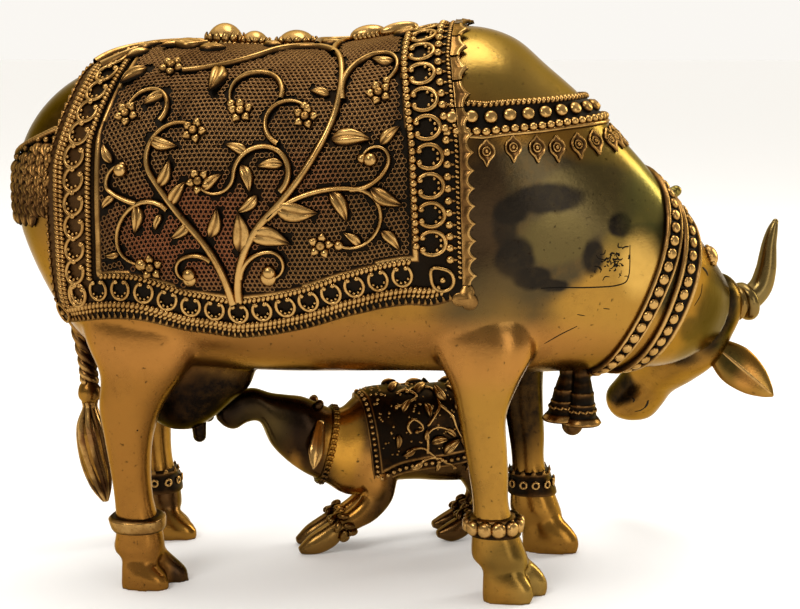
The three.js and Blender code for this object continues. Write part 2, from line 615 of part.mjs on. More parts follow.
const face = vector(...FACE).normalize();
const rightward = vector(...TO_RIGHT).addScaledVector(face, -vector(...TO_RIGHT).dot(face)).normalize();
const upward = rightward.clone().cross(face).normalize();
const headPlace = (alongFace, right, up) => (
  sum(vector(...POLL), [face, alongFace], [rightward, right], [upward, up])
);

function cowHead() {
  const skull = loft(HEAD.map(([at, wide, deep, rise]) => (
    oval(headPlace(at, 0, rise), scaled(rightward, wide), scaled(upward, deep), HEAD_SIDES, 2.3)
  )));
  const parts = [skull];
  for (const side of [1, -1]) {
    parts.push(horn(side), earLeaf(side));
    const eye = headPlace(EYE.along, side * EYE.spread, EYE.rise);
    parts.push(ball(eye, [EYE.radius * 0.5, EYE.radius * 0.7, EYE.radius], 3, 6, [rightward, upward, face]));
  }
  return joined(parts);
}

function horn(side) {
  const reach = side > 0 ? HORN_REACH.right : HORN_REACH.left;
  const root = headPlace(0, side * HORN.spread, HORN.rise);
  const sweep = vector(...HORN_SWEEP).normalize();
  const outward = scaled(rightward, side);
  const path = Array.from({ length: HORN.steps + 1 }, (_, k) => {
    const part = k / HORN.steps;
    const out = reach.out * Math.sin(Math.min(part * 2.2, 1) * Math.PI / 2);
    return sum(root, [outward, out], [sweep, reach.up * part ** 1.35]);
  });
  const radii = path.map((_, k) => mix(HORN.root, HORN.tip, (k / HORN.steps) ** 1.2));
  const ring = HORN_RING.steps.map((step) => sum(root, [outward, HORN_RING.from + step]));
  return joined([rod(path, radii, HORN.sides, face), rod(ring, HORN_RING.radii, HORN.sides, face)]);
}

// The right ear hangs out towards the shown side, the left one lies back along the throat
function earLeaf(side) {
  const root = headPlace(EAR.from, side * EAR.spread, EAR.rise);
  const reach = vector(...(side > 0 ? EAR_REACH.right : EAR_REACH.left)).normalize();
  const wide = reach.clone().cross(vector(...EAR_FACING)).normalize();
  const thick = wide.clone().cross(reach).normalize();
  return loft(EAR_SHAPE.map(([part, width, depth]) => {
    const centre = sum(root, [reach, part * EAR.length]);
    return oval(centre, scaled(wide, width * EAR.width), scaled(thick, depth * EAR.thick), 6);
  }));
}

// Udder, tail and bells

function udder() {
  const bag = loft(UDDER.map(([height, x, halfX, y, halfY]) => (
    oval(vector(x, y, height), vector(halfX, 0, 0), vector(0, halfY, 0), UDDER_SIDES)
  )));
  const teats = TEATS.map((path) => (
    rod(path.map((place) => vector(...place)), TEAT_RADII, 6, vector(0.9, -0.4, 0))
  ));
  return joined([bag, ...teats]);
}

function tail() {
  const path = TAIL.map(([x, y, z]) => vector(x, y, z));
  const rope = rod(path, TAIL.map((row) => row[3]), 8);
  return rope.add(ball(vector(...TAIL_PAD.at), TAIL_PAD.radii, 5, 8));
}

function bell({ at, lean }) {
  const [x, y, z] = at;
  const shape = BELL_SHAPE.map(([part, radius]) => {
    const centre = vector(x + lean * part, y, z + part * BELL.height);
    return oval(centre, vector(radius, 0, 0), vector(0, radius, 0), BELL.sides);
  });
  const clapper = ball(vector(x + 1, y, z - 0.6), [2.4, 2.4, 2.6], 3, 6);
  return loft(shape).add(clapper);
}

// Calf, modelled along its own line and then turned into place beside the udder

const calfForward = vector(Math.cos(radians(CALF_LINE.bearing)), Math.sin(radians(CALF_LINE.bearing)), 0);
const calfSide = vector(-Math.sin(radians(CALF_LINE.bearing)), Math.cos(radians(CALF_LINE.bearing)), 0);

function calfLeg({ rows, side, ahead }) {
  const centres = rows.map(([forward, height]) => {
    const drift = THREE.MathUtils.clamp((30 - height) / 12, 0, 1);
    return vector(forward + ahead * drift, side, height);
  });
  const rings = centres.map((centre, i) => {
    const before = centres[Math.max(i - 1, 0)];
    const after = centres[Math.min(i + 1, centres.length - 1)];
    const deep = after.clone().sub(before).cross(vector(0, 1, 0)).normalize();
    return oval(centre, scaled(deep, rows[i][2]), vector(0, rows[i][3], 0), CALF_LEG_SIDES, 2.2);
  });
  const [ankle, ankleHeight] = rows[CALF_ANKLET.row];
  const anklePlace = vector(ankle + ahead - CALF_ANKLET.back, side, ankleHeight + CALF_ANKLET.rise);
  const ground = loft([-60, 60].map((x) => [
    vector(x, -30, -20), vector(x, 30, -20), vector(x, 30, 0), vector(x, -30, 0),
  ]));
  return loft(rings).add(ball(anklePlace, CALF_ANKLET.radii, 3, 6)).subtract(ground);
}

function calfCloth() {
  const { front, rear, drop, lift, rimLift, sunk } = CALF_CLOTH;
  const { columns, rows } = CALF_CLOTH_STEPS;
  const between = (low, high, count) => (
    Array.from({ length: count }, (_, k) => mix(low, high, k / (count - 1)))
  );
  const columnsAt = [0, 0.09, 0.11, ...between(0.2, 0.76, columns), 1];
  const rowsAt = [-1, -0.84, -0.82, ...between(-0.75, 0.75, rows), 0.82, 0.84, 1];
  const layer = (liftOf) => columnsAt.map((part) => rowsAt.map((turn) => {
    const raised = part < 0.1 || Math.abs(turn) > 0.83;
    return skinFrame(CALF_TRUNK, mix(front, rear, part), turn * radians(drop), liftOf(raised)).point;
  }));
  const outer = layer((raised) => (raised ? rimLift : lift));
  const inner = layer(() => -sunk);
  return loft(outer.map((row, i) => [...row, ...inner[i].reverse()]));
}

function calfEar(side) {
  const root = skinFrame(CALF_TRUNK, CALF_EAR.at, side * radians(CALF_EAR.angle), 0.4);
  const down = vector(CALF_EAR.forward, -side * CALF_EAR.spread, -1).normalize();
  return loft(CALF_EAR_SHAPE.map(([part, width]) => {
    const centre = sum(root.point, [down, part * CALF_EAR.length]);
    const thick = Math.max(width, 0.3) * CALF_EAR.thick;
    return oval(centre, vector(width * CALF_EAR.half, 0, 0), vector(0, thick, 0), 6);
  }));
}

function calfShape() {
  const parts = [trunkSolid(CALF_TRUNK, CALF_RINGS, CALF_SIDES)];
  for (const leg of CALF_LEGS) {
    parts.push(calfLeg(leg));
  }
  parts.push(calfCloth(), collar(CALF_TRUNK, CALF_COLLAR, 12));
  for (const side of [1, -1]) {
    const bud = skinFrame(CALF_TRUNK, CALF_EAR.at, side * radians(CALF_HORN_BUD.angle), 0.5);
    const clothAt = (behind, degrees) => {
      const t = CALF_CLOTH.front + CALF_STEM.inset + behind * CALF_STEM.perMillimetre;
      return skinFrame(CALF_TRUNK, t, side * radians(degrees), CALF_CLOTH.lift);
    };
    parts.push(calfEar(side), ball(bud.point, CALF_HORN_BUD.radii, 3, 6));
    parts.push(...CALF_STEMS.map((stem) => stemRelief(stem, clothAt, CALF_STEM)));
  }
  return joined(parts);
}

function cowShape() {
  const parts = [trunkSolid(TRUNK, TRUNK_RINGS, TRUNK_SIDES), cowHead(), udder(), tail()];
  for (const leg of LEGS) {
    parts.push(cowLeg(leg));
  }
  for (const band of COLLARS) {
    parts.push(collar(TRUNK, band, COLLAR_ROUNDS));
  }
  for (const place of BELLS) {
    parts.push(bell(place));
  }
  parts.push(saddlecloth(), shoulderBand(), ...vineRelief());
  return joined(parts);
}

// Finished meshes

function meshOf(name, solid, material, place = (x, y, z) => [x, y, z]) {
  const { vertProperties, triVerts } = solid.getMesh();
  const positions = new Float32Array(vertProperties.length);
  for (let i = 0; i < vertProperties.length; i += 3) {
    positions.set(place(...vertProperties.slice(i, i + 3)), i);
  }
  const geometry = new THREE.BufferGeometry();
  geometry.setAttribute('position', new THREE.BufferAttribute(positions, 3));
  geometry.setIndex(new THREE.BufferAttribute(new Uint32Array(triVerts), 1));
  geometry.computeVertexNormals();
  const mesh = new THREE.Mesh(geometry, material);
  mesh.name = name;
  return mesh;
}

const cow = meshOf('cow', cowShape(), BRASS);
const calf = meshOf('calf', calfShape(), DARK_BRASS, (forward, side, z) => (
  sum(vector(CALF_LINE.x, CALF_LINE.y, z), [calfForward, forward], [calfSide, side]).toArray()
));

// The origin is the middle of the footprint at floor level
const statue = new THREE.Group();
statue.add(cow, calf);
const box = new THREE.Box3().setFromObject(statue);
const middle = box.getCenter(vector(0, 0, 0));
for (const mesh of [cow, calf]) {
  mesh.geometry.translate(-middle.x, -middle.y, -box.min.z);
}

export default statue;
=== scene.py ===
# A brass cow under an ornamented saddlecloth, with the calf that drinks from her.
import math
from functools import partial

import bmesh
import bpy
import numpy as np
from mathutils import Matrix, Vector, noise
from mathutils.bvhtree import BVHTree


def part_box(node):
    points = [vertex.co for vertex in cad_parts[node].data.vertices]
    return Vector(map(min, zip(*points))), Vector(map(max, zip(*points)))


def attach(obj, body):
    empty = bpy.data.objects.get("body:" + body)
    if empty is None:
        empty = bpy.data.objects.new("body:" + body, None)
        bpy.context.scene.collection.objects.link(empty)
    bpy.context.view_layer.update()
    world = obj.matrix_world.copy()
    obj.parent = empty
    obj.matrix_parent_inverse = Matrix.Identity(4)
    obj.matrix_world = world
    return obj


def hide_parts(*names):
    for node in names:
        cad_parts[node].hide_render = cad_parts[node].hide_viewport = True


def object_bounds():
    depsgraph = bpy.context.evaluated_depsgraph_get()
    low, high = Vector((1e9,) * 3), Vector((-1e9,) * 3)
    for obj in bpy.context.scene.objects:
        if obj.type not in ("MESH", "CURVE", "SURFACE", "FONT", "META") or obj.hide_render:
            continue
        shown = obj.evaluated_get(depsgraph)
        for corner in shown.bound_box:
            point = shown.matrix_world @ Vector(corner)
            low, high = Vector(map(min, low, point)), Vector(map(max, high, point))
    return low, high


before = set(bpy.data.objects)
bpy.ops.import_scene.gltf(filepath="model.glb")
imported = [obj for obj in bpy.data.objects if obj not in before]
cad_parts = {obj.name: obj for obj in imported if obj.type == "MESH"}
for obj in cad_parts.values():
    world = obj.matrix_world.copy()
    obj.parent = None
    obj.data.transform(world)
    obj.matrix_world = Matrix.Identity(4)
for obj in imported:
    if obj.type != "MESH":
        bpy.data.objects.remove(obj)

cad_box = [list(corner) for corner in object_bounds()]

# The statue is modelled in millimetres on the cow's own axes, where her box starts at this
# corner, and then laid over the frame
MM = 0.001
COW_LOW = Vector((-128.01, -43.82, 0.0))
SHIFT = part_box("cow")[0] - COW_LOW * MM
TO_FRAME = Matrix.Translation(SHIFT) @ Matrix.Scale(MM, 4)

# Powers of the ovals that the bodies are made of: 2 is an ellipse, and more is squarer
TRUNK_OVAL, HEAD_OVAL, LEG_OVAL, TOE_OVAL, CALF_LEG_OVAL = 2.25, 2.3, 2.3, 2.2, 2.2

# Cow's trunk by sections: top x z, bottom x z, half width, y, turn in plan, swell
TRUNK = [
    (-126.5, 131, -126.5, 125, 3, 0, 0, 0), (-124.5, 142, -124.5, 112, 12, 0, 0, 0),
    (-118.5, 153, -116.5, 95, 21, 0, 0, 0), (-109, 162, -106, 80, 28, 0, 0, 1.5),
    (-96, 168.5, -95, 72, 33.5, 0, 0, 5), (-80, 172.5, -79, 69.5, 37, 0, 0, 6),
    (-60, 173.5, -59, 69, 39.5, 0, 0, 1.5), (-38, 173, -37, 68.5, 40.5, 0, 0, 0),
    (-15, 174, -14, 69, 40, 0, 0, 0), (6, 177.5, 7, 69.5, 38.5, 0, 0, 2),
    (22, 180.5, 22, 69.5, 36.5, 0, 0, 6), (36, 177, 33, 69.5, 34, 0, 0, 5.5),
    (47, 168, 42, 69.5, 31.5, 1, 5, 1.5), (57, 159, 49.5, 69.5, 29, 3, 13, 0),
    (66.5, 148.5, 56, 69.5, 27, 6, 23, 0), (77, 136, 61.5, 69.5, 25.5, 9, 32, 0),
    (87, 123, 66, 71, 24, 13, 40, 0), (96.5, 109.5, 77, 70, 20, 25, 50, 0),
    (101.5, 101, 90, 72, 15, 34, 55, 0),
]
# Degrees round from the ridge between which haunch and shoulder swell out, and sink back
SWELL_RISE, SWELL_FALL = (95, 135), (150, 178)
# Calf's trunk on its own axes: top x z, bottom x z, half width. It runs straight, with no swell
CALF_TRUNK = [
    (70, 52, 69.6, 48.5, 1.8), (68.5, 55, 66.8, 45.8, 3.6), (64.5, 57.5, 63.3, 44.9, 4.4),
    (60, 58.5, 59, 47, 4.3), (56, 58.6, 54.6, 46.5, 4.8), (50.5, 56.6, 51, 38.8, 5.8),
    (45, 55.6, 46, 33, 6.8), (39.5, 54.6, 40.5, 28.5, 7.8), (34.5, 52.4, 35.5, 25.5, 7.6),
    (29.5, 50, 31, 23, 7.4), (25, 50, 26.5, 19.8, 8.4), (20.5, 53.5, 22, 18.5, 10),
    (15, 55.8, 15.5, 20, 11.4), (8, 56, 8, 22.5, 12), (0, 55.3, 0, 22.6, 12.4),
    (-11, 55.8, -10.5, 21.3, 12.2), (-20, 55, -19, 21.3, 11.2), (-27, 53, -26, 25.5, 9.6),
    (-32, 48, -31, 33, 6.6), (-34.5, 43, -34.5, 38, 2.5),
]
CALF_TRUNK = [row + (0, 0, 0) for row in CALF_TRUNK]

# Legs from the trunk down to the sole: height, x, half length, y, half width
HIND_LEG = [
    (100, -83, 18, 17, 13), (88, -81, 19.5, 20, 14.5), (80, -80, 18.5, 21.5, 13.8),
    (70, -80.5, 13.5, 23, 11.8), (60, -84.2, 10.3, 24, 9.8), (50, -85.2, 7.8, 24.5, 8.2),
    (40, -85, 6.5, 24.5, 7.2), (28, -84.2, 6.1, 24, 6.6), (18, -82.9, 7.4, 23.5, 7.4),
    (12.2, -83, 8.2, 23.5, 7.8), (9.6, -81.6, 6.6, 23.5, 6.8),
]
FRONT_LEG = [
    (100, 27, 15, 16, 13), (88, 28, 17, 20, 14), (80, 29, 16, 22, 13), (70, 29.5, 10.8, 24, 10.8),
    (60, 29, 7.6, 24.5, 8.8), (50, 30, 6.8, 24, 7.7), (40, 31.2, 6.2, 23.5, 7.1),
    (30, 31.9, 5.7, 23, 6.6), (19.5, 33.6, 7.8, 22.5, 7.6), (13.5, 34.8, 8.9, 22.5, 8),
    (10.5, 36.6, 7.6, 22.5, 7),
]
# Toes: height, x, half length, distance from the middle of the foot, half width
HIND_TOE = [
    (12, -82, 5, 3, 3.5), (8, -80.4, 7.3, 3.8, 4.3), (4, -78.4, 9.3, 4.4, 4.6), (0, -78.2, 10, 4.4, 4.3),
]
FRONT_TOE = [
    (13, 36, 6, 3, 3.5), (9, 38.2, 8.4, 3.8, 4.2), (4.5, 39.6, 9.9, 4.2, 4.4), (0, 39.7, 10, 4.2, 4.2),
]
# Each foot's outer toe stands further back and is shorter: move along x, and what is taken off
OUTER_TOE, INNER_TOE = (-1.9, 1.8), (0.5, 0)
# Legs: rows, side, how far the foot stands ahead of the rows and apart from them, toes
LEGS = [
    (HIND_LEG, -1, 0, 0, HIND_TOE), (HIND_LEG, 1, -8.5, 7, HIND_TOE),
    (FRONT_LEG, -1, 0, 0, FRONT_TOE), (FRONT_LEG, 1, 9.5, 8.5, FRONT_TOE),
]
# Heights between which a leg leaves the line of its rows
LEG_DRIFT, CALF_LEG_DRIFT = (95, 60), (30, 18)
# Soles are flat below this height
SOLE = 0.5

# Head: its own axes at the poll, and rings along it: distance, half width, half depth, rise
POLL = Vector((103, 38, 91))
FACE = Vector((-0.42, 0.52, -0.745)).normalized()
RIGHT = Vector((0.86, 0.495, -0.139))
RIGHT = (RIGHT - FACE * RIGHT.dot(FACE)).normalized()
CROWN = RIGHT.cross(FACE).normalized()
HEAD = [
    (-7, 5, 4, -1), (-4, 9, 7, -1.5), (2, 12.5, 9.5, -2), (10, 13.5, 12, -2), (20, 13, 14.5, -2.5),
    (32, 11, 12.5, -2), (44, 8.7, 9.7, -1), (54, 9.6, 8.6, -1), (62, 10, 8, -0.5), (67, 6.6, 5.4, 0),
]
# Horns: x, y, z and radius from the root inside the head to the tip
HORNS = {
    1: [(109, 42, 86.5, 4), (113.4, 44.8, 86.2, 4.4), (117.2, 47, 87.8, 4.4), (120.6, 48, 91.6, 4.1),
        (122.2, 48.4, 97.2, 3.6), (122.7, 48.5, 102, 3.1), (123.1, 48.6, 106.6, 2.55),
        (124, 48.7, 111.2, 1.9), (124.9, 48.7, 114.3, 1.05)],
    -1: [(93.8, 33.2, 92.8, 4.2), (89.6, 30.5, 95.5, 4), (87.9, 29.4, 101, 3.4), (88.1, 29, 108, 2.8),
         (87.4, 28.6, 115, 2.4), (86, 28, 121, 2.3), (87, 27.6, 124.4, 2.25), (89.6, 27.4, 126.4, 1.9)],
}
# Rings that hold a horn at its root: step along the horn, radius, half thickness
HORN_RINGS = [(3, 4.3, 1.9), (7, 4.7, 2.3)]
EAR = {"from": 22, "spread": 10, "rise": -2, "ahead": -6, "length": 29.5, "width": 7.2, "thick": 2.6}
EAR_REACH = {1: Vector((0.775, -0.1, -0.62)).normalized(), -1: Vector((-0.92, 0.1, -0.28)).normalized()}
EAR_FACING = Vector((0.15, -0.95, 0.25))
# Rings of an ear: share of its length, of its width and of its thickness
EAR_SHAPE = [(0, 0.35, 0.9), (0.16, 0.68, 1), (0.42, 1, 1), (0.7, 0.82, 0.8), (0.9, 0.4, 0.5), (1, 0.06, 0.1)]
EYE = {"along": 20, "spread": 11.2, "rise": 6, "radius": 3.4}

# Udder: height, x, half length, y, half width
UDDER = [
    (80, -68, 22, -2, 13), (72, -68, 21, -2.5, 13), (63, -69, 19.3, -3.5, 12),
    (58, -71.5, 16.5, -4, 10.5), (53, -72.5, 11.8, -4.5, 8.5), (50, -73, 8, -4.5, 6.5),
    (48.2, -72.5, 4.5, -4.5, 4),
]
# Teats from the root down, and their radii
TEATS = [
    [(-67.3, -4, 55), (-67.3, -4, 50), (-67.1, -4, 45.4)],
    [(-69, -3, 55), (-66.6, 1, 52), (-65.8, 2.8, 50.8)],
]
TEAT_RADII = (2.7, 2.5, 2.2)
# Tail: x, height and radius
TAIL = [
    (-124, 134, 4), (-124.5, 118, 3.4), (-118, 103, 3), (-110.5, 86, 2.8), (-107, 72, 2.8),
    (-106, 63, 2), (-106, 60.6, 3.7), (-106, 57, 4.2), (-106, 53.2, 1.9), (-106, 46, 4.6),
    (-105, 36, 4.8), (-103.2, 27, 3.6), (-101.6, 20.5, 0.8),
]
# The swelling that the tail grows from: middle and half sizes
TAIL_ROOT = ((-124, 0, 129), (3.5, 9, 14))

# Calf's own line: forward, side and up, standing across the space beside the udder
CALF_AT = Vector((0, 34.6, 0))
CALF_BEARING = math.radians(203.5)
CALF_TO_COW = Matrix.Translation(CALF_AT) @ Matrix.Rotation(CALF_BEARING, 4, "Z")
# Calf's legs: forward, height, half thickness, half width
CALF_FRONT_LEG = [
    (14, 40, 8, 4), (14, 32, 8, 5.2), (13.4, 24, 6.8, 5), (13, 18.5, 5.4, 4.4), (16.5, 14, 4.6, 3.8),
    (21.5, 11, 3.8, 3.4), (26.5, 8.6, 3.6, 3.3), (31, 5.4, 4.2, 3.8), (36, 3, 3.6, 3.4),
    (41, 1.2, 1.2, 1.8),
]
CALF_HIND_LEG = [
    (-21, 42, 7.5, 4), (-21.5, 33, 8, 5), (-23, 25, 6.4, 4.8), (-26, 18.5, 4.8, 4),
    (-26.5, 13.5, 4, 3.6), (-24, 9.6, 3.6, 3.3), (-21, 6.8, 3.6, 3.3), (-17.5, 4.4, 3.8, 3.6),
    (-14, 3.2, 3.4, 3.2), (-9.5, 3, 1.2, 1.8),
]
CALF_LEGS = [
    (CALF_FRONT_LEG, -5.6, 0), (CALF_FRONT_LEG, 5.6, 1.5),
    (CALF_HIND_LEG, -5.8, 0), (CALF_HIND_LEG, 5.8, 2),
]


# Skin of a trunk: sections blended along it, each a rounded oval

def blended(rows, t):
    """Rows of numbers blended smoothly at any places between them."""
    table = np.array(rows, float)
    table = np.vstack([2 * table[0] - table[1], table, 2 * table[-1] - table[-2]])
    t = np.asarray(t, float)
    start = np.clip(np.floor(t).astype(int), 0, len(rows) - 2)
    w = (t - start)[..., None]
    before, here, after, beyond = (table[start + k] for k in range(4))
    return 0.5 * (
        2 * here + (after - before) * w
        + (2 * before - 5 * here + 4 * after - beyond) * w**2
        + (3 * here - before - 3 * after + beyond) * w**3
    )


def smooth_step(value, low, high):
    part = np.clip((value - low) / (high - low), 0, 1)
    return part * part * (3 - 2 * part)


def oval_reach(cos, sin, power):
    """Distance from the middle of an oval to its edge."""
    return (abs(cos) ** power + abs(sin) ** power) ** (-1 / power)


def skin_points(sections, t, angle):
    """Points on a trunk, by section and by the angle round it from the ridge."""
    t, angle = np.broadcast_arrays(np.asarray(t, float), np.asarray(angle, float))
    top_x, top_z, low_x, low_z, half, y, turn, full = np.moveaxis(blended(sections, t), -1, 0)
    zero = np.zeros_like(half)
    centre = np.stack([(top_x + low_x) / 2, y, (top_z + low_z) / 2], -1)
    up = np.stack([(top_x - low_x) / 2, zero, (top_z - low_z) / 2], -1)
    forward = np.stack([up[..., 2], zero, -up[..., 0]], -1)
    forward /= np.linalg.norm(forward, axis=-1, keepdims=True)
    turn = np.radians(turn)
    side = forward * (np.sin(turn) * half)[..., None]
    side[..., 1] -= np.cos(turn) * half
    cos, sin = np.cos(angle), np.sin(angle)
    size = oval_reach(cos, sin, TRUNK_OVAL)
    bent = np.degrees(abs((angle + math.pi) % (2 * math.pi) - math.pi))
    swell = full * smooth_step(bent, *SWELL_RISE) * (1 - smooth_step(bent, *SWELL_FALL))
    return centre + up * (cos * size)[..., None] + side * (sin * size * (1 + swell / half))[..., None]


def skin_frames(sections, t, angle):
    """Points on a trunk, with the ways forward, round and out there."""
    step = 0.01
    point = skin_points(sections, t, angle)
    forward = skin_points(sections, np.add(t, step), angle) - skin_points(sections, np.add(t, -step), angle)
    around = skin_points(sections, t, np.add(angle, step)) - skin_points(sections, t, np.add(angle, -step))
    out = np.cross(around, forward)
    return [point] + [way / np.linalg.norm(way, axis=-1, keepdims=True) for way in (forward, around, out)]


# Places on the cow's back: u runs along x, v is the way down from the ridge along the skin
U_RANGE, V_RANGE, GRID = (-116, 34), (-132, 132), 0.5
# Sections of the trunk under the back, and degrees down from the ridge
BACK_SECTIONS, BACK_DROP = (1, 12.5), 170
LINES_U = np.arange(U_RANGE[0], U_RANGE[1] + GRID, GRID)
LINES_V = np.arange(V_RANGE[0], V_RANGE[1] + GRID, GRID)


def back_grid():
    """A table of points and ways on the back, at even steps of u and v."""
    t = np.linspace(*BACK_SECTIONS, 600)
    rows = blended(TRUNK, t)
    t_of_u = np.interp(LINES_U, (rows[:, 0] + rows[:, 2]) / 2, t)
    angles = np.radians(np.linspace(0, BACK_DROP, 120))
    points = skin_points(TRUNK, t_of_u[:, None], angles[None, :])
    steps = np.linalg.norm(np.diff(points, axis=1), axis=-1)
    girth = np.concatenate([np.zeros((len(t_of_u), 1)), np.cumsum(steps, axis=1)], axis=1)
    angle = np.stack([
        np.sign(LINES_V) * np.interp(abs(LINES_V), line, angles) for line in girth
    ])
    point, forward, around, out = skin_frames(TRUNK, t_of_u[:, None], angle)
    return np.concatenate([point, forward, around, out], axis=-1)


BACK = back_grid()


def on_back(u, v, lift=0.0):
    """Points, and the ways forward, round and out, at places on the back."""
    u, v, lift = np.broadcast_arrays(np.asarray(u, float), np.asarray(v, float), np.asarray(lift, float))
    column = np.clip((u - U_RANGE[0]) / GRID, 0, len(LINES_U) - 1.001)
    row = np.clip((v - V_RANGE[0]) / GRID, 0, len(LINES_V) - 1.001)
    i, k = column.astype(int), row.astype(int)
    a, b = (column - i)[..., None], (row - k)[..., None]
    mixed = (
        BACK[i, k] * (1 - a) * (1 - b) + BACK[i + 1, k] * a * (1 - b)
        + BACK[i, k + 1] * (1 - a) * b + BACK[i + 1, k + 1] * a * b
    )
    point, forward, around, out = (mixed[..., n:n + 3] for n in (0, 3, 6, 9))
    return point + out * lift[..., None], forward, around, out


# Building in bmesh: mapped grids, tubes, and small ornaments laid on a surface

def new_mesh():
    bm = bmesh.new()
    # Each point's brightness: rubbed wear, and patina and painted shade in the hollows
    bm.verts.layers.float.new("wear_and_shade")
    return bm


def paint_wear_and_shade(bm, verts, shine):
    """Writes how bright points are, 0 in a dark hollow and 1 on a height: rubbed wear on the heights, patina
    and painted shade in the hollows.
    """
    layer = bm.verts.layers.float["wear_and_shade"]
    for vert in verts:
        vert[layer] = shine(vert.co) if callable(shine) else shine


def mapped_grid(bm, columns, rows, places, wear_and_shade=None):
    """A grid of faces whose points go where a function of two arrays of shares puts them."""
    made = bmesh.ops.create_grid(bm, x_segments=columns, y_segments=rows, size=1)["verts"]
    shares = np.array([vert.co[:2] for vert in made]) / 2 + 0.5
    points = places(shares[:, 0], shares[:, 1])
    layer = bm.verts.layers.float["wear_and_shade"]
    shine = np.ones(len(made)) if wear_and_shade is None else wear_and_shade(shares[:, 0], shares[:, 1])
    for vert, point, bright in zip(made, points, shine):
        vert.co = point
        vert[layer] = bright
    return made


def sealed(bm, made):
    """Closes a mapped grid into a shell: seams are merged and open ends filled."""
    bmesh.ops.remove_doubles(bm, verts=made, dist=0.001)
    kept = [vert for vert in made if vert.is_valid]
    rims = {edge for vert in kept for edge in vert.link_edges if edge.is_boundary}
    if rims:
        bmesh.ops.holes_fill(bm, edges=list(rims), sides=0)
    faces = {face for vert in kept for face in vert.link_faces}
    bmesh.ops.recalc_face_normals(bm, faces=list(faces))
    return kept


def curve_through(rows, count):
    """Rows at even shares of a smooth curve through a few given ones."""
    return blended(rows, np.linspace(0, 1, count) * (len(rows) - 1))


def tube(bm, path, sides, across=(0, 1, 0)):
    """A rod along rows of x, y, z and radius, its rings square to the path."""
    path = np.asarray(path, float)
    count = len(path)
    places, radii = path[:, :3], path[:, 3]
    ways = np.gradient(places, axis=0)
    ways /= np.linalg.norm(ways, axis=1, keepdims=True)
    across = np.broadcast_to(np.asarray(across, float), places.shape)
    deep = np.cross(ways, across)
    deep /= np.linalg.norm(deep, axis=1, keepdims=True)
    wide = np.cross(deep, ways)

    def place(s, a):
        ring = np.rint(s * (count - 1)).astype(int)
        angle = 2 * math.pi * a
        along, aside = np.cos(angle) * radii[ring], np.sin(angle) * radii[ring]
        return places[ring] + wide[ring] * along[:, None] + deep[ring] * aside[:, None]

    return sealed(bm, mapped_grid(bm, count - 1, sides, place))


def ring_stack(bm, rings, sides, power=2.0, steps=4):
    """A shell through ovals: rows of centre, first and second half axis, nine numbers each."""
    table = np.array(rings, float)
    count = (len(table) - 1) * steps

    def place(s, a):
        row = blended(table, s * (len(table) - 1))
        angle = 2 * math.pi * a
        cos, sin = np.cos(angle), np.sin(angle)
        size = oval_reach(cos, sin, power)
        return row[:, :3] + row[:, 3:6] * (cos * size)[:, None] + row[:, 6:] * (sin * size)[:, None]

    return sealed(bm, mapped_grid(bm, count, sides, place))


def ball(bm, centre, radii, axes=None, segments=16, rings=10):
    turn = Matrix.Identity(3) if axes is None else Matrix(axes).transposed()
    matrix = Matrix.Translation(centre) @ turn.to_4x4() @ Matrix.Diagonal((*radii, 1))
    made = bmesh.ops.create_uvsphere(
        bm, u_segments=segments, v_segments=rings, radius=1, matrix=matrix,
    )["verts"]
    paint_wear_and_shade(bm, made, 1)
    return made


# The body: shells that overlap, made one smooth skin

def trunk_shell(bm, sections, columns, rows):
    last = len(sections) - 1

    def place(s, a):
        return skin_points(sections, s * last, 2 * math.pi * a)

    sealed(bm, mapped_grid(bm, columns, rows, place))


def way_down(height, span):
    """How far a height has come down a span, from 0 at its top to 1 at its foot."""
    return min(max((span[0] - height) / (span[0] - span[1]), 0), 1)


def leg_place(row, leg):
    height, x, _, y, _ = row
    _, side, ahead, apart = leg[:4]
    drift = way_down(height, LEG_DRIFT)
    return x + ahead * drift, side * (y + apart * drift), height


def leg_rings(leg):
    return [(*leg_place(row, leg), row[2], 0, 0, 0, row[4], 0) for row in leg[0]]


def toe_rings(leg, toe):
    _, side, ahead, apart, rows = leg
    middle = side * (leg[0][-1][3] + apart)
    back, short = OUTER_TOE if toe == side else INNER_TOE
    return [
        (x + ahead + back, middle + toe * off, z, half - short, 0, 0, 0, wide, 0)
        for z, x, half, off, wide in rows
    ]


def leg_ring_at(leg, height):
    """The ring of a leg at any height."""
    rows = leg_rings(leg)
    heights = [row[2] for row in rows]
    part = np.interp(height, heights[::-1], np.arange(len(rows))[::-1])
    return blended(rows, part)


def head_place(along, right, up):
    """A place on the head's own axes, measured from the poll."""
    return POLL + FACE * along + RIGHT * right + CROWN * up


def head_rings():
    return [
        (*head_place(at, 0, rise), *(RIGHT * wide), *(CROWN * deep)) for at, wide, deep, rise in HEAD
    ]


def ear_axes(side):
    reach = EAR_REACH[side]
    wide = reach.cross(EAR_FACING).normalized()
    root = head_place(EAR["from"], side * EAR["spread"], EAR["rise"])
    if side > 0:
        root.y += EAR["ahead"]
    return root, reach, wide, wide.cross(reach)


def ear_rings(side):
    root, reach, wide, thick = ear_axes(side)
    return [
        (
            *(root + reach * part * EAR["length"]),
            *(wide * width * EAR["width"]),
            *(thick * depth * EAR["thick"]),
        )
        for part, width, depth in EAR_SHAPE
    ]


def udder_rings():
    return [(x, y, height, half_x, 0, 0, 0, half_y, 0) for height, x, half_x, y, half_y in UDDER]


def tail_path(count=60):
    rows = [(x, 0, z, radius) for x, z, radius in TAIL]
    return curve_through(rows, count)


def cow_shells():
    bm = new_mesh()
    trunk_shell(bm, TRUNK, columns=150, rows=96)
    for leg in LEGS:
        ring_stack(bm, leg_rings(leg), 32, LEG_OVAL)
        for toe in (1, -1):
            ring_stack(bm, toe_rings(leg, toe), 28, TOE_OVAL)
    ring_stack(bm, head_rings(), 40, HEAD_OVAL, steps=5)
    ring_stack(bm, udder_rings(), 32)
    tube(bm, tail_path(), 14)
    ball(bm, *TAIL_ROOT)
    return bm


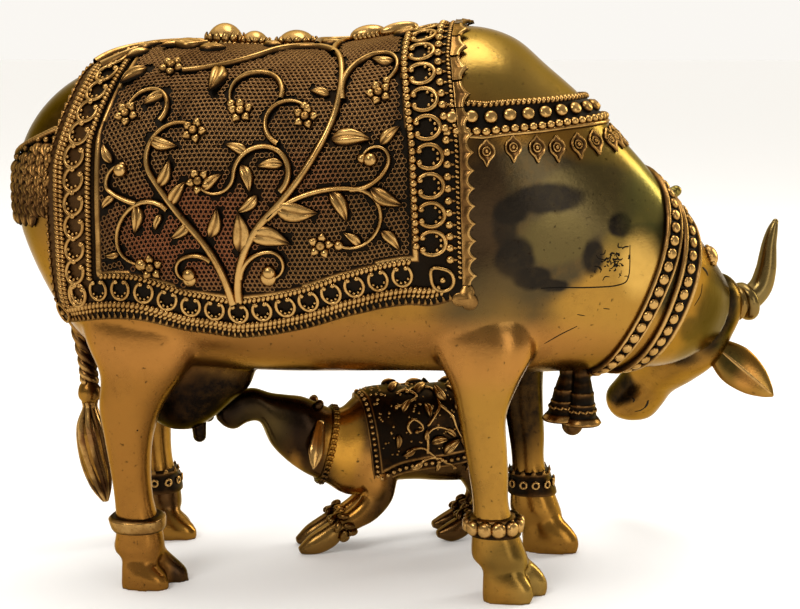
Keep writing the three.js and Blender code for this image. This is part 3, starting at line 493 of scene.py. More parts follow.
def calf_leg_path(leg):
    rows, side, ahead = leg
    path = []
    for forward, height, thick, wide in rows:
        drift = way_down(height, CALF_LEG_DRIFT)
        path.append((forward + ahead * drift, side, height, thick, wide))
    return path


def calf_leg_rings(leg):
    path = np.array(calf_leg_path(leg))
    last = len(path) - 1
    ways = np.array([path[min(i + 1, last), :3] - path[max(i - 1, 0), :3] for i in range(last + 1)])
    deep = np.cross(ways, (0, 1, 0))
    deep /= np.linalg.norm(deep, axis=1, keepdims=True)
    return [(*row[:3], *(way * row[3]), 0, row[4], 0) for row, way in zip(path, deep)]


def calf_shells():
    bm = new_mesh()
    trunk_shell(bm, CALF_TRUNK, columns=120, rows=56)
    for leg in CALF_LEGS:
        ring_stack(bm, calf_leg_rings(leg), 24, CALF_LEG_OVAL, steps=5)
    return bm


def to_object(bm, name, smooth=True):
    mesh = bpy.data.meshes.new(name)
    bm.to_mesh(mesh)
    bm.free()
    if smooth:
        mesh.shade_smooth()
    made = bpy.data.objects.new(name, mesh)
    bpy.context.collection.objects.link(made)
    return made


def one_skin(bm, name, voxel, smoothing):
    """Remeshes overlapping shells into one closed skin and irons out its steps."""
    shells = to_object(bm, name + "_shells")
    remesh = shells.modifiers.new("skin", "REMESH")
    remesh.mode = "VOXEL"
    remesh.voxel_size = voxel
    ironed = shells.modifiers.new("ironed", "SMOOTH")
    ironed.factor = 0.5
    ironed.iterations = smoothing
    bpy.context.view_layer.update()
    finished = shells.evaluated_get(bpy.context.evaluated_depsgraph_get())
    skin = bpy.data.meshes.new_from_object(finished)
    bpy.data.objects.remove(shells)
    bm = new_mesh()
    bm.from_mesh(skin)
    bpy.data.meshes.remove(skin)
    return bm


def flat_soles(bm):
    for vert in bm.verts:
        if vert.co.z < SOLE:
            vert.co.z = 0


def horns_ears_teats(bm):
    for path in TEATS:
        rows = [(*place, radius) for place, radius in zip(path, TEAT_RADII)]
        tube(bm, curve_through(rows, 12), 20, across=(0.9, -0.4, 0))
        ball(bm, path[-1], (TEAT_RADII[-1],) * 3)
    for side in (1, -1):
        path = curve_through(HORNS[side], 40)
        tube(bm, path, 24, across=tuple(FACE))
        ball(bm, path[-1, :3], (path[-1, 3],) * 3)
        ring_stack(bm, ear_rings(side), 32, steps=8)
        for at, radius, half in HORN_RINGS:
            centre = Vector(path[at, :3])
            way = Vector(path[at + 1, :3] - path[at - 1, :3]).normalized()
            first = way.orthogonal().normalized()
            second = way.cross(first)
            rows = [
                (*(centre + (first * math.cos(t) + second * math.sin(t)) * radius), half)
                for t in np.linspace(0, 2 * math.pi, 33)
            ]
            tube(bm, rows, 12, across=tuple(way))


# Openness: how much of the sky above each point is free. Points that see little of it are darkened: painted
# shade in hollows, creases and under other parts, with the dark patina kept there

# Height of the flattest direction looked along, and how far off the skin the look starts
FLATTEST, OFF_SKIN = 0.1, 0.25


def open_directions(count):
    """Directions spread evenly over the sky round +z, all but the flattest."""
    k = np.arange(count) + 0.5
    up = 1 - k / count * (1 - FLATTEST)
    turn = k * math.pi * (3 - math.sqrt(5))
    flat = np.sqrt(1 - up * up)
    return [Vector(way) for way in np.stack([flat * np.cos(turn), flat * np.sin(turn), up], 1)]


def darken_hollows(bm, tree, reach, count=12):
    """Multiplies each point's brightness in the layer by the share of free directions seen from it: painted
    shade, with patina, in the hollows.
    """
    bm.normal_update()
    layer = bm.verts.layers.float["wear_and_shade"]
    ways = open_directions(count)
    for vert in bm.verts:
        normal = vert.normal
        turn = normal.to_track_quat("Z", "Y")
        start = vert.co + normal * OFF_SKIN
        free = sum(tree.ray_cast(start, turn @ way, reach)[0] is None for way in ways)
        vert[layer] = vert[layer] * free / count


# Materials, in sRGB colours turned to linear by one function

def linear(code):
    channels = [int(code[k:k + 2], 16) / 255 for k in (1, 3, 5)]
    return [c / 12.92 if c <= 0.04045 else ((c + 0.055) / 1.055) ** 2.4 for c in channels] + [1]


def fill_band(band, stops):
    """Sets a colour band's places, each with a colour or a grey."""
    while len(band.elements) < len(stops):
        band.elements.new(0.5)
    for element, (place, colour) in zip(band.elements, stops):
        element.position = place
        element.color = linear(colour) if isinstance(colour, str) else (colour, colour, colour, 1)


def add(tree, kind, inputs, out=0, stops=None, **settings):
    """Adds a node with its settings, fills its inputs with values or other nodes' outputs,
    and gives back one of its outputs."""
    node = tree.nodes.new("ShaderNode" + kind)
    for name, value in settings.items():
        setattr(node, name, value)
    for name, value in inputs.items():
        if isinstance(value, bpy.types.NodeSocket):
            tree.links.new(value, node.inputs[name])
        else:
            node.inputs[name].default_value = value
    if stops:
        fill_band(node.color_ramp, stops)
    return node.outputs[out]


def per_millimetre(size):
    """Noise scale in Object coordinates for features of this many millimetres."""
    return 1 / (size * MM)


def blot(node, where, centre, radii, edge):
    """A soft-edged spot round a place on the statue, from 0 outside to 1 inside."""
    away = node("VectorMath", {0: where, 1: TO_FRAME @ Vector(centre)}, operation="SUBTRACT")
    scale = [1 / (radius * MM) for radius in radii]
    away = node("VectorMath", {0: away, 1: scale}, operation="MULTIPLY")
    length = node("VectorMath", {0: away}, "Value", operation="LENGTH")
    return node("MapRange", {
        "Value": length, "From Min": 1 - edge, "From Max": 1 + edge, "To Min": 1.0, "To Max": 0.0,
    }, "Result", interpolation_type="SMOOTHSTEP")


# Grain of old brass: size in millimetres, detail, roughness and the output that is read.
# Real casting pits and rubbing marks are a few tenths of a millimetre: both are drawn
# coarser here, so that they show
GRAIN = {
    "clouds": (26, 3.0, 0.55, "Fac"), "mottling": (3.2, 6.0, 0.65, "Fac"),
    "wandering": (9, 3.0, 0.5, "Color"), "pits": (1.5, 2.0, 0.5, "Fac"),
    "rubbing": (0.9, 4.0, 0.6, "Fac"), "dents": (9, 2.0, 0.5, "Fac"),
}
# How much clouds and mottling change the shine, mottling the blots of stain, painted shade and painted
# highlight, and mottling the gloss
CLOUDING, MOTTLING, BLOT_PATCHINESS, GLOSS_PATCHES = 0.55, 0.34, 0.5, -0.35
# How far the edge of a blot wanders, and the depth of dents and marks, in millimetres
BLOT_WANDER, MARK_DEPTH = 3.4, 0.15
DENTS_OVER_MARKS = 3.0
PITS, PIT_DARKNESS, GRIME = [(0.24, 1.0), (0.33, 0.0)], 0.75, "#1C130B"
# Patina hides the metal in the hollows
BARE_METAL = [(0.0, 0.7), (0.35, 1.0)]
# Worn brass stays brown at grazing angles
GRAZING = "#E2D2B4"


def aged_brass(name, tones, polish, grime=1.0, blots=(), bump=0.25):
    """Cast brass rubbed bright on its high places, with brown patina and painted shade in its hollows.
    tones run from the deepest hollow to the brightest rub."""
    material = bpy.data.materials.new(name)
    material.use_nodes = True
    tree = material.node_tree
    node = partial(add, tree)
    where = node("TexCoord", {}, "Object")
    # Brightness from the mesh: rubbed wear on heights, patina and painted shade in hollows
    wear_and_shade_value = node("Attribute", {}, "Fac", attribute_name="wear_and_shade")
    grain = {
        name: node("TexNoise", {
            "Vector": where, "Scale": per_millimetre(size), "Detail": detail, "Roughness": rough,
        }, out)
        for name, (size, detail, rough, out) in GRAIN.items()
    }

    # Tarnish comes in broad clouds and in fine mottling
    cloudy = node("Math", {0: grain["clouds"], 1: 0.5}, operation="SUBTRACT")
    cloudy = node("Math", {0: cloudy, 1: CLOUDING * grime}, operation="MULTIPLY")
    uneven = node("Math", {0: grain["mottling"], 1: 0.5}, operation="SUBTRACT")
    mottled = node("Math", {0: uneven, 1: MOTTLING * grime}, operation="MULTIPLY")
    shine = node("Math", {0: wear_and_shade_value, 1: cloudy}, operation="ADD")
    shine = node("Math", {0: shine, 1: mottled}, operation="ADD", use_clamp=True)
    colour = node("ValToRGB", {"Fac": shine}, stops=tones)

    # Blots have wandering edges, stains and painted shade and highlights alike, so the place is shaken a
    # little before they are measured
    shake = node("VectorMath", {0: grain["wandering"], 1: (0.5,) * 3}, operation="SUBTRACT")
    shake = node("VectorMath", {0: shake, 1: (BLOT_WANDER * MM,) * 3}, operation="MULTIPLY")
    shaken = node("VectorMath", {0: where, 1: shake}, operation="ADD")
    patchy = node("Math", {0: uneven, 1: BLOT_PATCHINESS}, operation="MULTIPLY")
    patchy = node("Math", {0: patchy, 1: 1.0}, operation="ADD")
    for tint, strength, centre, radii, edge in blots:
        spot = blot(node, shaken, centre, radii, edge)
        spot = node("Math", {0: spot, 1: strength}, operation="MULTIPLY")
        spot = node("Math", {0: spot, 1: patchy}, operation="MULTIPLY", use_clamp=True)
        colour = node("Mix", {0: spot, 6: colour, 7: linear(tint)}, 2, data_type="RGBA")

    # Casting pits hold dark grime
    pitted = node("ValToRGB", {"Fac": grain["pits"]}, stops=PITS)
    pitted = node("Math", {0: pitted, 1: PIT_DARKNESS}, operation="MULTIPLY")
    colour = node("Mix", {0: pitted, 6: colour, 7: linear(GRIME)}, 2, data_type="RGBA")

    gloss = node("ValToRGB", {"Fac": shine}, stops=polish)
    patches = node("Math", {0: mottled, 1: GLOSS_PATCHES}, operation="MULTIPLY")
    rough = node("Math", {0: gloss, 1: patches}, operation="ADD")
    metal = node("ValToRGB", {"Fac": shine}, stops=BARE_METAL)

    # Shallow dents of the casting and fine rubbing marks
    height = node("Math", {0: grain["dents"], 1: DENTS_OVER_MARKS}, operation="MULTIPLY")
    height = node("Math", {0: grain["rubbing"], 1: height}, operation="ADD")
    marked = node("Bump", {"Strength": bump, "Distance": MARK_DEPTH * MM, "Height": height})

    shader = tree.nodes["Principled BSDF"]
    for name, value in (
        ("Base Color", colour), ("Roughness", rough), ("Metallic", metal), ("Normal", marked),
    ):
        tree.links.new(value, shader.inputs[name])
    shader.inputs["Specular Tint"].default_value = linear(GRAZING)
    return material


# Tones from the deepest hollow to the brightest rub, and the roughness that goes with each
POLISHED = [(0.0, "#0B0705"), (0.25, "#21150A"), (0.5, "#513519"), (0.78, "#704D21"), (1.0, "#8B6227")]
RELIEF = [(0.0, "#060403"), (0.3, "#1B120A"), (0.6, "#54391D"), (0.85, "#8E6836"), (1.0, "#B38B50")]
NET = [(0.0, "#040302"), (0.35, "#140C07"), (0.7, "#4A2F1A"), (1.0, "#7C5A35")]
PATINA = [(0.0, "#060403"), (0.35, "#110C08"), (0.65, "#1F160D"), (0.85, "#362514"), (1.0, "#52391D")]
POLISH = [(0.0, 0.58), (0.45, 0.38), (1.0, 0.24)]
NET_POLISH = [(0.0, 0.7), (1.0, 0.38)]

# Blots: tint, strength, centre in millimetres, radii and softness of the edge. Most are tarnish and stains;
# the ones marked below are painted shade and painted highlights
COW_BLOTS = [
    ("#8C7338", 0.7, (42, 0, 176), (32, 60, 24), 0.3),
    ("#6B5C2E", 0.8, (74, 0, 130), (19, 60, 30), 0.3),
    ("#A67D35", 0.5, (70, -22, 97), (24, 24, 15), 0.35),
    ("#453A26", 0.97, (44, -34, 121), (25, 30, 25), 0.12),
    ("#574A2C", 0.95, (62, -24, 128), (17, 30, 11), 0.16),
    ("#3B2C1D", 0.85, (29, -38, 118), (8, 20, 38), 0.3),
    ("#574A2A", 0.85, (52, -30, 116), (11, 14, 8), 0.2),
    ("#473A24", 0.85, (33, -32, 95), (18, 24, 14), 0.35),
    ("#231E18", 0.95, (48.5, -31, 128.6), (13.4, 14, 4.6), 0.2),
    ("#231E18", 0.95, (38, -33, 125.2), (5.4, 14, 4.4), 0.2),
    ("#231E18", 0.8, (36, -34, 119.5), (3.8, 14, 5.5), 0.3),
    ("#231E18", 0.95, (39.3, -33, 110.6), (6, 14, 6.8), 0.2),
    ("#231E18", 0.95, (44.5, -31, 104.4), (5.8, 12, 3.6), 0.22),
    ("#231E18", 0.95, (50.5, -29, 101.6), (5.4, 12, 2.1), 0.25),
    ("#231E18", 0.95, (70.5, -19, 120), (3.4, 12, 3.8), 0.25),
    ("#2A2418", 0.85, (77, -15, 118.2), (6.5, 12, 2), 0.3),
    ("#231E18", 0.95, (62.5, -24, 110), (3.6, 10, 5.5), 0.25),
    ("#6F6A38", 0.65, (82, 8, 128), (12, 40, 16), 0.35),
    ("#2B2818", 0.92, (87, -6, 107), (6, 24, 19), 0.25),
    ("#D2A653", 0.65, (77, -16, 107), (6, 10, 10), 0.4),
    ("#8A5A26", 0.6, (-82, -30, 52), (20, 20, 62), 0.4),
    ("#A87E36", 0.35, (33, -30, 45), (14, 14, 50), 0.4),
    ("#A06C34", 0.7, (0, -30, 80), (110, 20, 10), 0.45),
    ("#5E4824", 0.7, (-118, 0, 136), (16, 34, 30), 0.35),
    ("#33230F", 0.9, (-110, -14, 152), (18, 34, 15), 0.35),
    # Painted shade over the udder, under the belly
    ("#140E0A", 0.97, (-66, -2, 56), (27, 20, 19), 0.22),
    ("#1A120B", 0.93, (38, 30, 62), (13, 16, 32), 0.3),
    ("#4A3A1F", 0.85, (99, 20, 84), (13, 18, 24), 0.35),
    # Next two: painted shadow in the crevice where the neck meets the head, by the ear and horn roots
    ("#17120E", 0.96, (104.5, 27, 85), (7.5, 26, 17), 0.22),
    ("#33281A", 0.85, (101, 12, 90), (6, 16, 13), 0.35),
    # Painted shadow low on the neck, under the collar
    ("#1B1611", 0.85, (93, 20, 68), (7, 24, 3), 0.4),
    ("#40321C", 0.8, (94, 4, 84), (4, 12, 5), 0.3),
    ("#1B1611", 0.94, (71.5, 60, 52), (8.5, 16, 6.5), 0.22),
    ("#4E3E22", 0.7, (92, 46, 76), (6, 14, 8), 0.35),
    ("#2A1D10", 0.8, (62, 10, 64), (26, 16, 8), 0.5),
    ("#2E2117", 0.9, (-69, -20, 6), (5, 8, 18), 0.35),
    # Painted highlight on the near front hoof
    ("#93793E", 0.6, (46, -24, 6), (8, 10, 12), 0.45),
    ("#56441F", 0.7, (37, -30, 14), (7, 12, 7), 0.45),
    ("#3A2618", 0.85, (-86, 27, 17), (8, 9, 8), 0.35),
    ("#655A38", 0.75, (122, 48, 100), (14, 20, 24), 0.4),
    ("#4A3F1D", 0.9, (111, 35, 67), (6, 14, 9), 0.4),
    ("#CF9048", 0.6, (117, 34, 61), (5, 12, 5), 0.45),
    # Painted highlight along the ear's edge
    ("#A58341", 0.6, (125, 34, 60), (6, 12, 9), 0.45),
]
NET_BLOTS = [
    ("#8A4E33", 0.6, (-58, -38, 118), (24, 20, 16), 0.4),
    ("#8A5436", 0.4, (-24, -38, 132), (12, 20, 10), 0.4),
]
RELIEF_BLOTS = [
    ("#8A5E30", 0.25, (-104, -20, 122), (12, 60, 62), 0.3),
    ("#3A2413", 0.6, (-118, 0, 124), (16, 40, 6), 0.5),
    # Next two: painted shade down the tail's side towards the body
    ("#2B190E", 0.85, (-104, -3, 77), (3.2, 10, 14), 0.3),
    ("#2B190E", 0.85, (-100.5, -3, 38), (3.4, 10, 15), 0.3),
    ("#54291A", 0.6, (-106, -3, 44), (3, 6, 4), 0.4),
    ("#3A2413", 0.75, (-104, -3, 27), (5, 8, 3), 0.4),
]
CALF_BLOTS = [
    # Next two: painted shade on the calf's muzzle and head, under the cow's udder
    ("#120D0A", 0.9, (-62, 5, 54), (7, 10, 8), 0.4),
    ("#17120E", 0.9, (-47, 10, 50), (13, 12, 13), 0.35),
    ("#0A0705", 0.97, (-10.4, 19, 20.3), (2.4, 6, 2.4), 0.35),
    ("#1A120D", 0.85, (-33, 12, 44), (6, 10, 12), 0.4),
    # Next three: painted highlights, glints on the calf's shoulder and front leg
    ("#C08A34", 0.9, (-21, 17, 37), (6, 10, 12), 0.45),
    ("#B9823C", 0.85, (-13, 19, 27), (5, 8, 8), 0.45),
    ("#A87530", 0.85, (-20, 24, 18), (7, 8, 12), 0.5),
    ("#8E6A34", 0.7, (-30, 14, 6), (12, 10, 6), 0.5),
    ("#B27E38", 0.9, (-37, 17, 38), (3.5, 5, 8), 0.3),
    # Painted sheen on the calf's head
    ("#4E3E20", 0.7, (-50, 12, 44), (9, 8, 9), 0.5),
]


# Stage: a pale floor, soft studio light and the camera

PAPER_WHITE = "#F4F1EC"
# Matt paint gives an even pale ground without a gloss, and its glow keeps it light underneath
FLOOR_PAINT = {
    "Base Color": linear("#F0EEEA"), "Roughness": 0.8,
    "Emission Color": linear(PAPER_WHITE), "Emission Strength": 0.16,
}
FLOOR_SIZE = 40
# The room is pale behind the statue and dim in front of it, so that the brass keeps its depth
ROOM = {"From Min": -0.35, "From Max": 0.75, "To Min": 0.46, "To Max": 1.06}
# Softboxes: place in metres, size, power in watts
SOFTBOXES = {
    "key": ((-0.55, -1.05, 1.15), (0.55, 0.4), 8.2),
    "fill": ((1.0, -1.1, 0.35), (0.5, 0.7), 2.6),
    "top": ((0.15, 0.1, 1.3), (0.7, 0.5), 6),
    "rim": ((0.85, 0.55, 0.45), (0.25, 0.6), 5),
}
MIDDLE = Vector((0, 0, 0.09))
# A wide, soft light from the ceiling: strength, breadth in degrees and tilts
CEILING = {"strength": 0.9, "breadth": 70, "tilts": (-12, -10, 0)}


def hang_light(name, kind, place, turn, **settings):
    light = bpy.data.lights.new(name, kind)
    for key, value in settings.items():
        setattr(light, key, value)
    holder = bpy.data.objects.new(name, light)
    holder.location = place
    holder.rotation_euler = turn
    bpy.context.collection.objects.link(holder)


def studio():
    bm = bmesh.new()
    bmesh.ops.create_grid(bm, x_segments=1, y_segments=1, size=FLOOR_SIZE)
    floor = to_object(bm, "floor", smooth=False)
    paint = bpy.data.materials.new("matt_pale_floor_paint")
    paint.use_nodes = True
    for name, value in FLOOR_PAINT.items():
        paint.node_tree.nodes["Principled BSDF"].inputs[name].default_value = value
    floor.data.materials.append(paint)

    world = bpy.data.worlds.new("studio")
    bpy.context.scene.world = world
    world.use_nodes = True
    node = partial(add, world.node_tree)
    ahead = node("SeparateXYZ", {"Vector": node("TexCoord", {}, "Generated")}, "Y")
    pale = node("MapRange", {"Value": ahead, **ROOM}, "Result", interpolation_type="SMOOTHSTEP")
    walls = world.node_tree.nodes["Background"].inputs
    walls["Color"].default_value = linear(PAPER_WHITE)
    world.node_tree.links.new(pale, walls["Strength"])
    bpy.context.scene.view_settings.view_transform = "Standard"

    tilts = [math.radians(tilt) for tilt in CEILING["tilts"]]
    hang_light(
        "ceiling", "SUN", (0, 0, 0), tilts,
        energy=CEILING["strength"], angle=math.radians(CEILING["breadth"]),
    )
    for name, (place, (long, wide), power) in SOFTBOXES.items():
        turn = (MIDDLE - Vector(place)).to_track_quat("-Z", "Y").to_euler()
        hang_light(name, "AREA", place, turn, shape="RECTANGLE", size=long, size_y=wide, energy=power)


# The camera stands at the photograph's angle: millimetres, and pixels of an image this wide
CAMERA = {"azimuth": 7, "elevation": 9, "distance": 520, "focal_px": 1586, "target": (0, 0, 90.5)}
IMAGE_WIDTH = 800
SENSOR = 36


def camera():
    lens = bpy.data.cameras.new("camera")
    lens.sensor_width = SENSOR
    lens.lens = CAMERA["focal_px"] / IMAGE_WIDTH * SENSOR
    holder = bpy.data.objects.new("camera", lens)
    azimuth, elevation = math.radians(CAMERA["azimuth"]), math.radians(CAMERA["elevation"])
    level = math.cos(elevation)
    back = Vector((math.sin(azimuth) * level, -math.cos(azimuth) * level, math.sin(elevation)))
    holder.location = TO_FRAME @ (Vector(CAMERA["target"]) + back * CAMERA["distance"])
    holder.rotation_euler = (-back).to_track_quat("-Z", "Y").to_euler()
    bpy.context.collection.objects.link(holder)
    bpy.context.scene.camera = holder


def add_piece(bm, name, material, replaced=None, to_cow=None):
    """Lays a finished mesh over the frame as a piece of the statue."""
    if to_cow is not None:
        bmesh.ops.transform(bm, matrix=to_cow, verts=bm.verts)
    bmesh.ops.transform(bm, matrix=TO_FRAME, verts=bm.verts)
    # Relief ends flush with the box of the solids it lies on
    for vert in bm.verts:
        vert.co = [min(max(value, low), high) for value, low, high in zip(vert.co, *cad_box)]
    piece = to_object(bm, name)
    piece.data.materials.append(material)
    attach(piece, "root")
    if replaced:
        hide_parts(replaced)
    return piece


# Small ornaments, made once and laid many times

class Ornament:
    """A small shape in millimetres, x along, y across and z outwards, kept right and mirrored."""

    def __init__(self, bm, shine):
        paint_wear_and_shade(bm, bm.verts, shine)
        self.meshes = {}
        for side in (1, -1):
            mesh = bpy.data.meshes.new("ornament")
            if side < 0:
                bmesh.ops.scale(bm, vec=(1, -1, 1), verts=bm.verts)
                bmesh.ops.reverse_faces(bm, faces=bm.faces)
            bm.to_mesh(mesh)
            self.meshes[side] = mesh
        bm.free()

    def lay(self, bm, point, along, out, size=1.0, side=1):
        """Copies the shape onto a surface, its x along one way and its z outwards."""
        out = Vector(out)
        along = Vector(along)
        along = (along - out * along.dot(out)).normalized()
        axes = Matrix((along, out.cross(along), out)).transposed().to_4x4()
        scale = size if isinstance(size, tuple) else (size,) * 3
        copy = self.meshes[side].copy()
        copy.transform(Matrix.Translation(Vector(point)) @ axes @ Matrix.Diagonal((*scale, 1)))
        bm.from_mesh(copy)
        bpy.data.meshes.remove(copy)


def brighter_up(low, rise, slope=1.0):
    """Shine that grows with height, from low in the hollows to 1 on top: rubbed tops, and painted shade low
    down.
    """
    return lambda co: low + (1 - low) * min(max((co.z + rise) * slope, 0), 1)


def dome(segments=10, rings=7):
    """A ball of radius one without its underside."""
    bm = new_mesh()
    bmesh.ops.create_uvsphere(bm, u_segments=segments, v_segments=rings, radius=1)
    low = [vert for vert in bm.verts if vert.co.z < -0.35]
    bmesh.ops.delete(bm, geom=low, context="VERTS")
    return bm


def bead():
    return Ornament(dome(), brighter_up(0.25, 0.4))


def seed():
    """One twist of a rope line: a slanting grain."""
    bm = dome(8, 6)
    bmesh.ops.scale(bm, vec=(0.72, 1.15, 0.85), verts=bm.verts)
    bmesh.ops.rotate(bm, matrix=Matrix.Rotation(math.radians(-28), 3, "Z"), verts=bm.verts)
    return Ornament(bm, brighter_up(0.2, 0.2))


def raised_rim(bm, face, thickness, depth):
    """Insets one face and moves the inner face by depth."""
    bmesh.ops.inset_individual(
        bm, faces=[face], thickness=thickness, depth=depth, use_even_offset=True,
    )
    return face


def net_cell():
    """One mesh of the net: a six-sided wire ring round a hole, its floor painted dark for grime and for the
    shade inside it.
    """
    bm = new_mesh()
    ring = bmesh.ops.create_circle(bm, cap_ends=True, segments=6, radius=0.6)
    bmesh.ops.rotate(bm, matrix=Matrix.Rotation(math.radians(30), 3, "Z"), verts=ring["verts"])
    hole = raised_rim(bm, next(iter(bm.faces)), 0.105, 0.06)
    raised_rim(bm, hole, 0.06, -0.8)
    return Ornament(bm, lambda co: 1.0 if co.z > -0.1 else 0.0)


def scroll_ring(gap=70, points=4):
    """A ring open towards +y, its ends curled to knobs, with points inside its closed side."""
    bm = new_mesh()
    angles = np.radians(np.linspace(90 + gap / 2, 450 - gap / 2, 26))
    round_path = [(3.1 * math.cos(a), 3.5 * math.sin(a), 0.35, 0.62) for a in angles]
    tube(bm, round_path, 7, across=(0, 0, 1))
    for turn in (angles[0], angles[-1]):
        place = Matrix.Translation((2.65 * math.cos(turn), 3.0 * math.sin(turn), 0.35))
        bmesh.ops.create_uvsphere(bm, u_segments=8, v_segments=6, radius=0.95, matrix=place)
    for k in range(points):
        a = math.radians(270 + (k - (points - 1) / 2) * 40)
        place = Matrix.Translation((2.1 * math.cos(a), 2.4 * math.sin(a), 0.4))
        bmesh.ops.create_uvsphere(bm, u_segments=6, v_segments=5, radius=0.55, matrix=place)
    return Ornament(bm, brighter_up(0.3, 0.1))


def point_tooth():
    """A small point lying down, its tip towards +y."""
    bm = new_mesh()
    bmesh.ops.create_cone(bm, cap_ends=True, segments=6, radius1=0.75, radius2=0.12, depth=2.0)
    bmesh.ops.rotate(bm, matrix=Matrix.Rotation(math.radians(-90), 3, "X"), verts=bm.verts)
    bmesh.ops.translate(bm, vec=(0, 1, 0.15), verts=bm.verts)
    return Ornament(bm, lambda co: 0.8 if co.z > 0 else 0.3)


def scallop():
    """One bay of a plate along an edge: a spike towards +y between two hollow arcs."""
    bm = new_mesh()
    stops = np.array([0, 0.03, 0.12, 0.62, 0.7, 0.94, 1])
    rise = np.array([-0.5, 0.5, 0.28, 0.28, 0.62, 0.55, -0.5])

    def place(s, a):
        edge = 0.3 + 0.7 * (1 - abs(2 * s - 1)) ** 2.2
        across = np.interp(a, np.linspace(0, 1, len(stops)), stops)
        return np.stack([s - 0.5, -0.55 + (edge + 0.55) * across, np.interp(across, stops, rise)], -1)

    mapped_grid(bm, 16, len(stops) - 1, place)
    return Ornament(bm, lambda co: 0.1 if co.z < 0 else (0.92 if co.z > 0.45 else 0.66))


def leaf(bend=0.3):
    """A plump leaf of length one along x, bent sideways, with a groove down its middle."""
    bm = new_mesh()

    def place(s, a):
        half = 0.23 * np.sin(math.pi * s**0.7) ** 0.75
        y = (a * 2 - 1) * half + bend * (s * s - s * 0.75)
        full = np.sin(math.pi * np.clip(s, 0.03, 0.97)) ** 0.5
        across = abs(a * 2 - 1)
        z = full * (0.23 * (1 - across**3.5) - 0.1 * np.exp(-((across / 0.2) ** 2))) - 0.03
        return np.stack([s, y, z], -1)

    mapped_grid(bm, 9, 10, place)
    return Ornament(bm, brighter_up(0, 0.01, 7))


def petal():
    """A plump petal of length one along x, drawn to a point."""
    bm = new_mesh()

    def place(s, a):
        half = 0.4 * np.sin(math.pi * np.clip(s, 0.02, 1) ** 0.85) ** 0.8 + 0.04
        across = abs(a * 2 - 1)
        z = 0.05 + 0.42 * np.sin(math.pi * s * 0.85) * (1 - across**2.5)
        return np.stack([s, (a * 2 - 1) * half, z], -1)

    mapped_grid(bm, 6, 8, place)
    return Ornament(bm, brighter_up(0, 0, 3.2))


def button():
    """A flower's centre: a knob with a dimple."""
    bm = dome(12, 9)
    for vert in bm.verts:
        vert.co.z -= 0.5 * math.exp(-((math.hypot(vert.co.x, vert.co.y) / 0.32) ** 2))
    return Ornament(bm, brighter_up(0, 0.1))


def trefoil():
    """A three-lobed flat leaf, its middle lobe along x."""
    bm = new_mesh()
    bmesh.ops.create_circle(bm, cap_ends=True, segments=36, radius=1)
    for vert in bm.verts:
        angle = math.atan2(vert.co.y, vert.co.x)
        reach = 0.6 + 0.34 * abs(math.cos(angle * 1.5)) + 0.1 * math.cos(angle)
        vert.co *= reach
    raised_rim(bm, next(iter(bm.faces)), 0.05, 0.14)
    return Ornament(bm, lambda co: 0.85 if co.z > 0.1 else 0.3)


def eyelet():
    """A drop-shaped ring round a ball, its point towards +y."""
    bm = new_mesh()
    angles = np.radians(np.linspace(90, 450, 33))
    path = []
    for a in angles:
        rise = 1 + 0.42 * max(math.sin(a), 0) ** 5
        path.append((0.95 * math.cos(a), 0.95 * math.sin(a) * rise, 0.1, 0.17))
    tube(bm, path, 7, across=(0, 0, 1))
    middle = Matrix.Translation((0, 0, 0.05))
    bmesh.ops.create_uvsphere(bm, u_segments=10, v_segments=8, radius=0.3, matrix=middle)
    return Ornament(bm, lambda co: 0.3 + 2.5 * max(co.z, 0))


def make_ornaments():
    return {
        "bead": bead(), "seed": seed(), "cell": net_cell(), "ring": scroll_ring(), "tooth": point_tooth(),
        "scallop": scallop(), "leaf": leaf(), "petal": petal(), "button": button(), "trefoil": trefoil(),
        "eyelet": eyelet(), "pendant": pendant(), "collar_bead": collar_bead(), "ringlet": ringlet(),
    }


# The cow's saddlecloth: its edges as u against v, its hem as v against u

CLOTH_LIFT = 1.3
REAR_EDGE = [(0, -98), (22, -101.2), (43, -108.4), (84, -109), (93, -107.8)]
FRONT_EDGE = [(0, 22), (27, 22), (55, 25.4), (97, 27), (120, 27)]
HEM = [
    (-109, 93), (-96.6, 98.2), (-85, 101.4), (-76, 104), (-63, 109.8), (-47, 113), (-35, 111.3),
    (-24.5, 108.8), (-13, 105), (-2, 103), (8, 102.4), (14, 104), (25.5, 101),
]
# The hem's lowest place, and how far the sheet stops short of the front line
HEM_LOWEST, FRONT_INSET = 113, 0.9
# A share nearer to an edge than this is on it
ON_EDGE = 1e-6


def eased(pairs, x):
    """A smooth line through a few pairs of values."""
    xs, ys = np.array(pairs, float).T
    x = np.abs(x) if xs[0] == 0 else x
    fine = np.linspace(xs[0], xs[-1], 120)
    line = np.interp(fine, xs, ys)
    for _ in range(5):
        line[1:-1] = (line[:-2] + line[1:-1] * 2 + line[2:]) / 4
    return np.interp(x, fine, line)


def rear_edge(v):
    return eased(REAR_EDGE, v)


def front_edge(v):
    return eased(FRONT_EDGE, v)


def hem(u):
    return eased(HEM, u)


# Border lines as distances from the cloth's edges
REAR_LINES = {"teeth": 1.3, "rope": 5.4, "rings": 11.4, "rope_in": 16.6, "frame": 19.2}
FRONT_LINES = {"strip": 1.75, "beads": 7.0, "rings": 12.2, "beads_in": 17.0, "frame": 17.5}
HEM_LINES = {"teeth": 1.6, "rope": 5.6, "rings": 10.2, "rope_in": 14.2, "frame": 15}


def bump_line(distance, at, half, height):
    """A rounded ridge that runs along an edge, at a distance from it."""
    return height * np.exp(-(((distance - at) / half) ** 2))


def border_distances(u, v):
    return u - rear_edge(v), front_edge(v) - u, hem(u) - abs(v)


